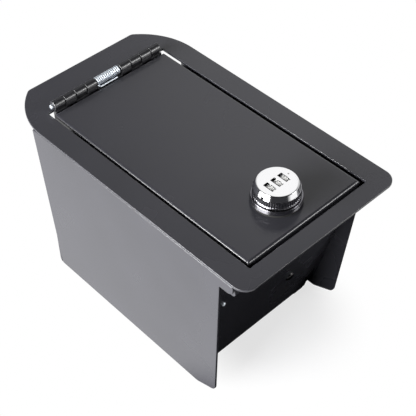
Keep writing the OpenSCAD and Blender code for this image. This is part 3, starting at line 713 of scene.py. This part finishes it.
def lid_shell(fold, edge):
    """Lid: one sheet folded down at its four edges, with a notch at each corner.

    Each column of points runs out from the flat top, over the fold's quarter circle, down the lip, round its
    lower edge, up inside and back under the top. Columns follow a rounded rectangle, and the columns of a
    corner leave out the lip.
    """
    notch, corner_r, inner_r, steps = 2.6, 0.9, 0.12, 5

    def loop(inset, radius):
        """Rounded rectangle with one more point on each side of every corner, at the notch's edge."""
        x, y0, y1 = LID_HALF_W - inset, LID_Y0 + inset, LID_Y1 - inset
        points, _ = box_outline(-x, y0, x, y1, radius, steps)
        corners = np.array([(-x, y0), (x, y0), (x, y1), (-x, y1)])
        reach = np.array([(0, 1), (-1, 0), (0, -1), (1, 0)]) * (notch - inset)
        before, after = (corners + reach)[:, None], (corners - np.roll(reach, -1, 0))[:, None]
        return np.concatenate([before, points.reshape(4, -1, 2), after], 1).reshape(-1, 2)

    outer, inner = loop(0, corner_r), loop(fold, inner_r)
    rows = [(fold * (1 - math.sin(a)), -fold * (1 - math.cos(a))) for a in np.linspace(0, math.pi / 2, 9)]
    fold_end = len(rows) - 1
    round_edge = np.linspace(0, math.pi / 2, 4)
    rows += [(edge * (1 - math.cos(a)), -LID_LIP + edge * (1 - math.sin(a))) for a in round_edge]
    rows += [(SHEET - edge * (1 - math.sin(a)), -LID_LIP + edge * (1 - math.cos(a))) for a in round_edge]
    rows += [(SHEET, -fold - 0.1)]
    inside = len(rows) - 1
    # The bend inside, 0.3 mm in radius
    rows += [(SHEET + x, -SHEET - z) for x, z in ((0, 0.3), (0.1, 0.08), (0.3, 0))]
    rows = np.array(rows)
    share = (rows[:, 0] / fold)[:, None, None]
    flat = outer + (inner - outer) * share
    points = np.concatenate([flat, np.broadcast_to(rows[:, 1:, None], (*flat.shape[:2], 1))], -1)
    count = len(outer)
    per_corner = steps + 3
    quads = grid(len(rows), count, wrap_cols=True)
    row, col = quads[:, 0] // count, quads[:, 0] % count
    in_corner = col % per_corner != per_corner - 1
    in_lip = (row >= fold_end) & (row < inside)
    quads = quads[~(in_corner & in_lip)]
    # At the corners the fold's end meets the inside, and caps close the lip's ends
    cols = np.flatnonzero(np.arange(count) % per_corner != per_corner - 1)
    start, end = fold_end * count + cols, inside * count + cols
    under = np.stack([start, end, end + 1, start + 1], -1)
    first = np.arange(4)[:, None] * per_corner + np.arange(fold_end, inside + 1) * count
    last = first + per_corner - 1
    top = filled([inner])
    faces = [quads, under, first, last[:, ::-1], top[:, ::-1], top + (len(rows) - 1) * count]
    return outward(points.reshape(-1, 3), faces)


class SAFE_OT_lid(bpy.types.Operator):
    """Folded lid and the rubber stops that it rests on"""

    bl_idname = "safe.lid"
    bl_label = "Lid"

    def execute(self, context):
        sizes = context.scene.safe_sizes
        shell = lid_shell(sizes.fold, sizes.edge)
        make_piece("lid", shell, [powder_coat()], "lid", ["lid_panel"])
        finish_nodes(moulded_rubber(), "lid_bumpers")
        return {"FINISHED"}


# Hinge


def leaf_shell(slots, y, low, top):
    """One leaf: a strip with knuckles round the pin, as outlines in Y and Z drawn out along X.

    A knuckle is a circle round the pin that is flat over 30 degrees, on a strap of its own width. Slots are
    the knuckles' places, counted outward from the coil.
    """
    barrel_r, gap, strip_r, strip_edge, barrel_edge = 3.8, 0.6, 0.3, 0.2, 0.5
    width = KNUCKLE - gap
    barrel = arcs((HINGE_Y, HINGE_Z, barrel_r, -150, 180, 44))
    strap = box_outline(y, low, y + LEAF, HINGE_Z - 0.6, strip_r, 2)
    shells = []
    for side in (-1, 1):
        for slot in slots:
            right = side * (COIL_HALF_W + (slot + 0.5) * KNUCKLE) + width / 2
            shells.append(drawn_across(barrel, width, barrel_edge, right))
            shells.append(drawn_across(strap, width, strip_edge, right))
    strip = box_outline(y, low, y + LEAF, top, strip_r, 2)
    shells.append(drawn_across(strip, 2 * LEAF_HALF_W, strip_edge, LEAF_HALF_W))
    return shells


class SAFE_OT_hinge(bpy.types.Operator):
    """Both hinge leaves, the pin, the coil spring and the leaf's rivets"""

    bl_idname = "safe.hinge"
    bl_label = "Hinge"

    def execute(self, context):
        lid_leaf = leaf_shell((0, 2), LID_Y1, low=-8.5, top=0.6)
        leaf_y, low, plate_low, step_r, step_edge = LID_Y1 + 1.7, -10.5, -26.0, 0.3, 0.25
        case_leaf = leaf_shell((1, 3), leaf_y, low, top=-0.2)
        for rear, down in ((BACK_Y + LEAF, plate_low), (leaf_y + LEAF, low)):
            step = box_outline(BACK_Y, down, rear, low + LEAF, step_r, 2)
            case_leaf.append(drawn_across(step, 2 * LEAF_HALF_W, step_edge, LEAF_HALF_W))
        for body, node, shells in (("lid", "lid", lid_leaf), ("case", "body", case_leaf)):
            leaf, paint = joined(*shells), [hinge_enamel()]
            make_piece(f"{body}_leaf", leaf, paint, body, [f"hinge_{node}_leaf"])
        self.pin()
        self.spring()
        finish_nodes(zinc_plate(), "hinge_rivets")
        return {"FINISHED"}

    def pin(self):
        """Rod with rounded ends, a little shorter at the left than the CAD's."""
        radius, short, end_r = 1.9, 0.7, 0.5
        left, right = (corner[0] for corner in cad_box("hinge_pin"))
        left += short
        length = right - left
        line = curve_corners([(0, 0), (radius, 0), (radius, length), (0, length)], [end_r, end_r])
        shell = turned(lathe(line, 40), ALONG_X, (left, HINGE_Y, HINGE_Z))
        make_piece("pin", shell, [zinc_plate()], "case", ["hinge_pin"])

    def spring(self):
        """Wire along a helix of 12.5 turns, with an arm at each end that lies on the sheet beside it.

        At angle a the helix has x = half * (a / (pi * turns) - 1), y = -coil_r * cos a, z = coil_r * sin a.
        The arms' bends are counted in wires.
        """
        wire, coil_r, half, turns, per_turn = 1.5, 2.95, 10.9, 12.5, 28
        a = np.linspace(0, turns * 2 * math.pi, int(turns * per_turn) + 1)
        coil = np.stack([-half + 2 * half * a / a[-1], -coil_r * np.cos(a), coil_r * np.sin(a)], -1)
        out, drop, length = 3.75, 3.15, 18.0
        arm = [
            [length, -out, -drop], [wire * 2.2, -out, -drop], [wire * 1.2, -out, -drop],
            [wire * 0.45, -out, -drop + wire * 0.22], [0, -out, -drop + wire],
            [0, -out + wire * 0.4, -wire * 1.1], [0, -coil_r, 0],
        ]
        fine = smooth_line(np.array(arm), 8)[:-1]
        path = np.concatenate([fine + [-half, 0, 0], coil, (fine * [-1, -1, 1] + [half, 0, 0])[::-1]])
        shell = tube(path + [0, HINGE_Y, HINGE_Z], wire / 2 - 0.02, 14)
        make_piece("spring", shell, [zinc_plate()], "case", ["hinge_spring"], 60)


# Lock


class SAFE_OT_ring(bpy.types.Operator):
    """Chrome ring on a rubber seal, and the parts of the lock below the knob"""

    bl_idname = "safe.ring"
    bl_label = "Lock ring and body"

    def execute(self, context):
        (_, _, seat_z), (foot_r, _, rim_z) = cad_box("lock_bezel")
        bore_r, rim_r, cup_r, cup_z = 9.15, 18.1, 16.0, 3.2
        corners = [
            (bore_r, seat_z), (foot_r, seat_z), (rim_r, rim_z),
            (cup_r, rim_z), (cup_r, cup_z), (bore_r, cup_z),
        ]
        outline, _ = rounded(corners, [0.1, 0.2, 0.3, 0.2, 0.1, 0.1], 4)
        shell = turned(lathe(outline, 128, closed=True), move=(0, LOCK_Y, 0))
        make_piece("ring", shell, [satin_chrome()], "lid", ["lock_bezel"])
        finish_nodes(moulded_rubber(), "lock_gasket")
        # The barrel and spindle under the knob take the dark zinc: painted shade in the gap below the knob's
        # skirt.
        finish_nodes(black_zinc(), "lock_barrel", "lock_spindle")
        finish_nodes(zinc_plate(), "lock_washer", "lock_nut", "lock_cam")
        finish_nodes(zinc_plate(), "cam_washer", "cam_screw", "dial_axle")
        return {"FINISHED"}


class SAFE_OT_knob(bpy.types.Operator):
    """Chrome knob with a ridged skirt, a cone, three windows, a setting hole and an index mark"""

    bl_idname = "safe.knob"
    bl_label = "Knob"

    def execute(self, context):
        points, faces = self.shell(context.scene.safe_sizes.ridges)
        finishes = [bright_chrome(), satin_chrome(), black_zinc()]
        which = self.face_finish(points, faces)
        knob = make_piece("knob", (points, faces), finishes, "knob", ["lock_knob"], 35, which)
        self.bore(knob)
        radius = 0.75
        line = [(0, 0), (radius, 0), (radius, MARK_DEEP), (0, MARK_DEEP)]
        mark = lathe(curve_corners(line, [0.05, 0.1], 3), 32)
        mark = turned(mark, move=(MARK_X, MARK_Y, KNOB_TOP - MARK_DEEP))
        paint = filled_paint("Grey_filling_enamel", "#a9a9a8")
        make_piece("mark", mark, [paint], "knob", ["index_mark"])
        return {"FINISHED"}

    def face_finish(self, points, faces):
        """Each face's finish: 0 is bright chrome, 1 is satin chrome, on the skirt, and 2 is dark zinc inside,
        painted shade on the windows' walls and in the pocket.

        In each window's share of the width, what lies at its right wall or beyond stays bright.
        """
        x, y, z = np.concatenate([points[f].mean(1) for f in faces]).T
        skirt_r, skirt_top, face_r, bevel, right_wall = 15.5, 12.55, 13.0, 0.13, 1.7
        reach = np.hypot(x, y - LOCK_Y)
        across = (x + WHEEL_PITCH / 2) % WHEEL_PITCH - WHEEL_PITCH / 2
        # Inside faces, except those at a window's right wall, get painted shade.
        inside = (reach < face_r) & (z < KNOB_TOP - bevel) & (across < right_wall)
        return np.where(inside, 2, (reach > skirt_r) & (z < skirt_top))

    def shell(self, ridges):
        """One surface from the open underside up the skirt and the cone to the top, and down the windows.

        The line (r, h) has a lip and a groove below the skirt, and turns about the knob's axis. On the skirt
        r falls by depth * (0.5 - 0.5 * cos(ridges * a)) ** 0.7 at angle a, which leaves that many ridges.
        """
        depth, turns = 0.45, ridges * 8
        skirt_low, skirt_high = KNOB_LOW + 1.25, KNOB_TOP - 4.35
        lip = [(16.0, 0), (17.1, 0), (17.2, 0.3), (16.95, 0.9), (16.8, 1.1), (17.1, 1.3), (17.08, 1.6)]
        cone = [(16.66, 4.3), (16.62, 4.05), (16.35, 3.9), (14.85, 0), (13.4, 0)]
        line = np.concatenate(
            [
                curve_corners([(r, KNOB_LOW + up) for r, up in lip], [0.1, 0.1, 0.1, 0.05, 0.05], 2),
                curve_corners([(r, KNOB_TOP - down) for r, down in cone], [0.05, 0.05, 0.4], 4),
            ]
        )
        a = np.linspace(0, 2 * math.pi, turns, endpoint=False)
        r = np.repeat(line[:, :1], turns, 1)
        h = np.repeat(line[:, 1:], turns, 1)
        groove = depth * (0.5 - 0.5 * np.cos(ridges * a)) ** 0.7
        r = r - groove * np.clip((h - skirt_low) / 0.3, 0, 1) * np.clip((skirt_high - h) / 0.25, 0, 1)
        rows = len(line)
        points = [np.stack([r * np.cos(a), r * np.sin(a) + LOCK_Y, h], -1).reshape(-1, 3)]
        faces = [grid(rows, turns, wrap_cols=True)]
        start = rows * turns
        low_ring, top_ring = np.arange(turns), np.arange(turns) + (rows - 1) * turns

        # The windows and the mark's seat: a bevel of three rings and a wall down to the ceiling or the floor
        left, right, front, back = 2.6, 1.8, 4.5, 4.6
        seat_r, bevel, ceiling = 0.8, 0.12, WHEEL_Z + 3.1
        wells = [
            (box_outline(x - left, LOCK_Y - front, x + right, LOCK_Y + back, 0.25, 3), ceiling)
            for x in (-WHEEL_PITCH, 0, WHEEL_PITCH)
        ]
        wells.append((circle(MARK_X, MARK_Y, seat_r, 32), KNOB_TOP - MARK_DEEP))
        tops, bottoms = [top_ring], []
        for outline, floor in wells:
            p, n = hole(outline)
            count = len(p)
            levels = [(-bevel, 0), (-bevel * 0.3, bevel * 0.3), (0, bevel), (0, KNOB_TOP - floor)]
            for inset, down in levels:
                points.append(np.column_stack([p - n * inset, np.full(count, KNOB_TOP - down)]))
            faces.append(grid(len(levels), count, wrap_cols=True) + start)
            tops.append(np.arange(count) + start)
            bottoms.append(tops[-1] + (len(levels) - 1) * count)
            start += len(levels) * count

        # The pocket round the wheels, open below
        half_w, half_l = WHEEL_PITCH * 1.5 + 0.15, WHEEL_R + 0.2
        pocket, _ = box_outline(-half_w, LOCK_Y - half_l, half_w, LOCK_Y + half_l, 0.4, 3)
        count = len(pocket)
        upper = np.arange(count) + start
        points += [np.column_stack([pocket, np.full(count, z)]) for z in (ceiling, KNOB_LOW)]
        faces.append(grid(2, count, wrap_cols=True) + start)
        points = np.concatenate(points)
        faces.append(bottoms.pop()[None, ::-1])
        for loops, turn in ((tops, -1), ([upper, *bottoms], 1), ([low_ring, upper + count], 1)):
            faces.append(np.concatenate(loops)[filled([points[t][:, :2] for t in loops])][:, ::turn])
        return outward(points, faces)

    def bore(self, knob):
        """Cuts the setting hole: a drill 120 degrees from the axis, turned 6 degrees round it."""
        radius, depth, back, mouth_x, mouth_z = 1.0, 4.0, 1.0, -16.4, 13.3
        tilt, turn = math.radians(120), math.radians(6)
        s, c = math.sin(tilt), math.cos(tilt)
        drill = lathe([(0, 0), (radius, 0), (radius, depth), (0, depth)], 32)
        start = (mouth_x - back * s, 0, mouth_z - back * c)
        drill = turned(drill, [[c, 0, s], [0, 1, 0], [-s, 0, c]], start)
        s, c = math.sin(turn), math.cos(turn)
        points, faces = turned(drill, [[c, -s, 0], [s, c, 0], [0, 0, 1]], (0, LOCK_Y, 0))
        # The drill's faces become the setting hole's walls, in dark zinc: painted shade inside the hole.
        black = np.full(sum(len(f) for f in faces), 2)
        spare = new_mesh("setting_drill", points, faces, knob.data.materials, black)
        tool = new_object("setting_drill", spare)
        cut = knob.modifiers.new("Setting hole", "BOOLEAN")
        cut.operation, cut.object, cut.solver = "DIFFERENCE", tool, "EXACT"
        weighted = knob.modifiers["Weighted Normal"]
        weighted.show_viewport = False
        graph = bpy.context.evaluated_depsgraph_get()
        cut_mesh = bpy.data.meshes.new_from_object(knob.evaluated_get(graph))
        weighted.show_viewport = True
        knob.modifiers.remove(cut)
        whole, knob.data = knob.data, cut_mesh
        bpy.data.objects.remove(tool)
        for mesh in (whole, spare):
            bpy.data.meshes.remove(mesh)
        cut_mesh.name = "knob"
        cut_mesh.set_sharp_from_angle(angle=math.radians(35))


def digit_shell(digit, height, radius, centre, angle):
    """A digit's filled outline wrapped round a wheel.

    A point at height v on the flat digit turns by v / radius about the wheel's axis.
    """
    high_share, bolder = 0.72, 0.07
    text = bpy.data.curves.new("digit", "FONT")
    text.body = str(digit)
    text.size = height / high_share
    text.offset = bolder
    text.align_x = "CENTER"
    text.resolution_u = 4
    holder = new_object("digit", text)
    graph = bpy.context.evaluated_depsgraph_get()
    graph.update()
    mesh = bpy.data.meshes.new_from_object(holder.evaluated_get(graph))
    flat = np.zeros(len(mesh.vertices) * 3)
    mesh.vertices.foreach_get("co", flat)
    flat = flat.reshape(-1, 3)
    polygons = [np.array([list(p.vertices)]) for p in mesh.polygons]
    bpy.data.objects.remove(holder)
    bpy.data.curves.remove(text)
    bpy.data.meshes.remove(mesh)
    turn = angle + (flat[:, 1] - height / 2) / radius
    return np.stack([flat[:, 0], radius * np.sin(turn), radius * np.cos(turn)], -1) + centre, polygons


class SAFE_OT_wheels(bpy.types.Operator):
    """Three number wheels, each with ten digits round its rim"""

    bl_idname = "safe.wheels"
    bl_label = "Number wheels"

    def execute(self, context):
        height = context.scene.safe_sizes.digit
        finishes = [white_lacquer(), filled_paint("Black_filling_enamel", "#202022"), black_zinc()]
        bore_r, hub_r, hub_half_w, rim_half_w = 0.95, 2.0, 3.25, 1.55
        ink_r, first_deg, step_deg = WHEEL_R + 0.02, 14, 36
        outline, _ = rounded(
            [
                (bore_r, -hub_half_w), (hub_r, -hub_half_w), (hub_r, -rim_half_w), (WHEEL_R, -rim_half_w),
                (WHEEL_R, rim_half_w), (hub_r, rim_half_w), (hub_r, hub_half_w), (bore_r, hub_half_w),
            ],
            [0.1, 0.1, 0.1, 0.3, 0.3, 0.1, 0.1, 0.1],
            4,
        )
        wheel = turned(lathe(outline, 80, closed=True), ALONG_X)
        middles = np.concatenate([wheel[0][f].mean(1) for f in wheel[1]])
        on_rim = np.hypot(middles[:, 1], middles[:, 2]) > WHEEL_R - 0.2
        for number in (1, 2, 3):
            centre = ((number - 2) * WHEEL_PITCH, LOCK_Y, WHEEL_Z)
            digits = [
                digit_shell(digit, height, ink_r, centre, math.radians(first_deg - step_deg * digit))
                for digit in range(10)
            ]
            inked = sum(len(f) for _, faces in digits for f in faces)
            # Off the rim the wheels take the dark zinc: painted shade beside the wheels in the pocket.
            which = np.concatenate([np.where(on_rim, 0, 2), np.ones(inked)])
            name, shell = f"wheel_{number}", joined(turned(wheel, move=centre), *digits)
            make_piece(f"number_{name}", shell, finishes, name, [f"dial_{name}"], 35, which)
        return {"FINISHED"}


# Trim


class SAFE_OT_trim(bpy.types.Operator):
    """Domed rivets and the cable plug on the front panel"""

    bl_idname = "safe.trim"
    bl_label = "Rivets and plug"

    def execute(self, context):
        rivet_x, rivet_z, plug_x, plug_z = 58.5, -56.4, 25.0, -105.0
        rivet = self.dome(radius=1.6, height=1.2, shank=1.2, depth=2.9)
        rivets = [self.on_front(rivet, x, rivet_z) for x in (-rivet_x, rivet_x)]
        make_piece("rivets", joined(*rivets), [zinc_plate()], "case", ["panel_rivets"])
        plug = self.on_front(self.dome(radius=4.2, height=2.2, shank=2.6, depth=4.0), plug_x, plug_z)
        make_piece("plug", plug, [gloss_nylon()], "case", ["cable_plug"])
        return {"FINISHED"}

    def dome(self, radius, height, shank, depth):
        """A dome h = height * (1 - (r / radius) ** 2) ** 0.5 over a straight shank."""
        t = np.linspace(0, math.pi / 2, 12)
        arc = np.stack([radius * np.sin(t), height * np.cos(t)], -1)
        stem = [(shank, 0), (shank, -depth), (0, -depth)]
        return lathe(np.concatenate([arc, stem])[::-1], 48)

    def on_front(self, shell, x, z):
        """Turns a shell from its own axis to the front panel's, and moves it to its place."""
        y = PANEL_TOP_Y + (PANEL_TOP_Z - z) * math.tan(FRONT_LEAN)
        s, c = math.sin(FRONT_LEAN), math.cos(FRONT_LEAN)
        return turned(shell, [[1, 0, 0], [0, -s, -c], [0, c, -s]], (x, y, z))


# Studio


class SAFE_OT_stage(bpy.types.Operator):
    """White table, soft lamps, pale surroundings and the camera"""

    bl_idname = "safe.stage"
    bl_label = "Studio"

    def execute(self, context):
        studio = context.scene.safe_studio
        self.camera(context, studio)
        self.table(studio)
        self.world(context)
        self.lamp("left_softbox", (-1.4, 0.2, 0.41), (0, 0, 0.08), (1.2, 0.9), 82.0)
        self.lamp("front_softbox", (1.02, -1.38, 0.93), (0, 0, 0.1), (0.7, 0.35), 9.0)
        self.lamp("rear_softbox", (-1.3, 0.75, 0.58), (0, 0, 0.15), (0.5, 0.4), 7.0)
        context.scene.view_settings.view_transform = "Standard"
        return {"FINISHED"}

    def camera(self, context, studio):
        """Camera axes from azimuth, elevation and roll about the way it looks."""
        az, el, roll = studio.azimuth, studio.elevation, studio.roll
        ahead = Vector((-math.sin(az) * math.cos(el), math.cos(az) * math.cos(el), -math.sin(el)))
        level = Vector((math.cos(az), math.sin(az), 0))
        down = ahead.cross(level)
        right = level * math.cos(roll) + down * math.sin(roll)
        up = -ahead.cross(right)
        data = bpy.data.cameras.new("camera")
        data.lens, data.sensor_width = studio.lens, 36
        data.clip_start, data.clip_end = 0.02, 30
        camera = new_object("camera", data)
        turn = Matrix((right, up, -ahead)).transposed().to_4x4()
        camera.matrix_world = Matrix.Translation(studio.camera_place) @ turn
        context.scene.camera = camera

    def table(self, studio):
        """Round table of white paper, 1.2 m in radius, a hair below the safe.

        The camera sees it glow white. Near the safe's front a share of the lit paper shows through the glow,
        and with it the shadow, made deeper beside the right front foot by a placed zone. Mirrors see it
        white too, except a painted dark patch close in front of the safe, which stands in for shade in
        reflections. Soft light meets a nearly black table, so that little of it bounces up.
        """
        radius, turns, below, fibre_mm = 1.2, 96, 0.0002, 1.5
        rim = np.column_stack([circle(0, 0, radius, turns)[0], np.full(turns, -below)])
        mesh = bpy.data.meshes.new("table")
        mesh.from_pydata(rim.tolist(), [], [list(range(turns))])
        finish, tree, where = new_finish("Matt_white_paper")
        mesh.materials.append(finish)
        fibre = add(tree, "ShaderNodeTexNoise", {"Vector": where, "Scale": 1000 / fibre_mm, "Detail": 3.0})
        shades = ((0.3, shade(studio.floor, 0.985)), (0.7, shade(studio.floor, 1.0)))
        tint = add(tree, "ShaderNodeValToRGB", {"Fac": fibre}, shades)
        rays = add(tree, "ShaderNodeLightPath").outputs
        shadow = self.clear_of(tree, where, (0.012, -0.075, 0), near=0.03, far=0.085)
        # A smaller zone beside the right front foot lets more lit paper show, deepening the real shadow there.
        foot = self.clear_of(tree, where, (0.057, -0.069, 0), near=0.008, far=0.028, least=0.4)
        # Within this zone mirrors see the near-black paper: a painted dark patch, shade in the front panel's
        # reflection.
        before = self.clear_of(tree, where, (0.035, -0.14, 0), near=0.11, far=0.15)
        shadow = add(tree, "ShaderNodeMath", {0: shadow, 1: foot}, operation="MULTIPLY")
        share = add(tree, "ShaderNodeMapRange", {"Value": shadow, "To Min": 0.7})
        seen, transmitted, direct = rays["Is Glossy Ray"], rays["Is Transmission Ray"], rays["Is Camera Ray"]
        for way, other in (("MAXIMUM", transmitted), ("MULTIPLY", before), ("MAXIMUM", direct)):
            seen = add(tree, "ShaderNodeMath", {0: seen, 1: other}, operation=way)
        paints = {"Factor": seen, "A": linear("#101012"), "B": tint}
        colour = add(tree, "ShaderNodeMix", paints, data_type="RGBA")
        paper = add(tree, "ShaderNodeBsdfDiffuse", {"Color": colour, "Roughness": 0.5})
        glow = add(tree, "ShaderNodeEmission", {"Color": linear("#ffffff")})
        lift = add(tree, "ShaderNodeMath", {0: seen, 1: share}, operation="MULTIPLY")
        mix = add(tree, "ShaderNodeMixShader", {"Fac": lift, 1: paper, 2: glow})
        add(tree, "ShaderNodeOutputMaterial", {"Surface": mix})
        new_object("table", mesh)

    def clear_of(self, tree, where, centre, near, far, least=0.0):
        """Factor that rises from the least inside the near radius round a point to 1 outside the far one."""
        apart = add(tree, "ShaderNodeVectorMath", {0: where, 1: centre}, operation="DISTANCE")
        rise = {"Value": apart, "From Min": near, "From Max": far, "To Min": least}
        return add(tree, "ShaderNodeMapRange", rise, interpolation_type="SMOOTHSTEP")

    def world(self, context):
        """Pale surroundings, which three kinds of ray see differently.

        The camera sees white. Mirrors see white that is dim on the camera's side, overhead and behind, with
        one bright patch high at the rear right. Soft light is weak, and dimmer still from the camera's side.
        """
        world = bpy.data.worlds.new("studio")
        context.scene.world = world
        world.use_nodes = True
        tree = world.node_tree
        tree.nodes.clear()
        rays = add(tree, "ShaderNodeLightPath").outputs
        where = add(tree, "ShaderNodeTexCoord").outputs["Generated"]
        part = add(tree, "ShaderNodeSeparateXYZ", {"Vector": where}).outputs
        front_left, rear_right = (-0.52, -0.76, 0.39), (0.539, 0.474, 0.697)
        toward_camera, toward_patch = (
            add(tree, "ShaderNodeVectorMath", {0: where, 1: way}, operation="DOT_PRODUCT")
            for way in (front_left, rear_right)
        )
        black, white = linear("#000000"), linear("#ffffff")
        dark_side, overhead, behind, patch = (
            add(tree, "ShaderNodeValToRGB", {"Fac": factor}, stops)
            for factor, stops in (
                (toward_camera, ((0.5, white), (0.72, linear("#333336")))),
                (part["Z"], ((0.655, white), (0.722, linear("#141416")))),
                (part["Y"], ((0.6, white), (0.67, linear("#6c6c70")))),
                (toward_patch, ((0.994, black), (0.997, white))),
            )
        )
        mirrored = dark_side
        for way, colour in (("MULTIPLY", overhead), ("MULTIPLY", behind), ("LIGHTEN", patch)):
            both = {"Factor": 1.0, "A": mirrored, "B": colour}
            mirrored = add(tree, "ShaderNodeMix", both, data_type="RGBA", blend_type=way)
        light, glossy, plain = (
            add(tree, "ShaderNodeBackground", {"Color": colour, "Strength": strength})
            for colour, strength in ((dark_side, 0.21), (mirrored, 1.0), (white, 1.0))
        )
        for ray, shown in (("Is Glossy Ray", glossy), ("Is Camera Ray", plain)):
            light = add(tree, "ShaderNodeMixShader", {"Fac": rays[ray], 1: light, 2: shown})
        add(tree, "ShaderNodeOutputWorld", {"Surface": light})

    def lamp(self, name, place, aim, size, power):
        """Soft area lamp of size (width, height) in metres, aimed at a point."""
        data = bpy.data.lights.new(name, "AREA")
        data.shape = "RECTANGLE"
        data.size, data.size_y = size
        data.energy = power
        lamp = new_object(name, data)
        lamp.location = place
        lamp.rotation_euler = (Vector(aim) - Vector(place)).to_track_quat("-Z", "Y").to_euler()


OPERATORS = (
    SAFE_OT_stage,
    SAFE_OT_flange,
    SAFE_OT_sides,
    SAFE_OT_panels,
    SAFE_OT_lid,
    SAFE_OT_hinge,
    SAFE_OT_ring,
    SAFE_OT_knob,
    SAFE_OT_wheels,
    SAFE_OT_trim,
)


class SAFE_PT_panel(bpy.types.Panel):
    """Lists the pieces and their sizes"""

    bl_idname = "SAFE_PT_panel"
    bl_label = "Console safe"
    bl_space_type = "VIEW_3D"
    bl_region_type = "UI"
    bl_category = "Safe"

    def draw(self, context):
        column = self.layout.column()
        for group in (context.scene.safe_sizes, context.scene.safe_finish, context.scene.safe_studio):
            for name in group.__annotations__:
                column.prop(group, name)
        for operator in OPERATORS:
            column.operator(operator.bl_idname)


GROUPS = {"safe_sizes": SafeSizes, "safe_finish": SafeFinish, "safe_studio": SafeStudio}


def register():
    for made in (*GROUPS.values(), *OPERATORS, SAFE_PT_panel):
        bpy.utils.register_class(made)
    for name, group in GROUPS.items():
        setattr(bpy.types.Scene, name, bpy.props.PointerProperty(type=group))


def unregister():
    for name in GROUPS:
        delattr(bpy.types.Scene, name)
    for made in reversed((*GROUPS.values(), *OPERATORS, SAFE_PT_panel)):
        bpy.utils.unregister_class(made)


def main():
    register()
    for operator in OPERATORS:
        group, name = operator.bl_idname.split(".")
        getattr(getattr(bpy.ops, group), name)()


if __name__ == "__main__":
    main()
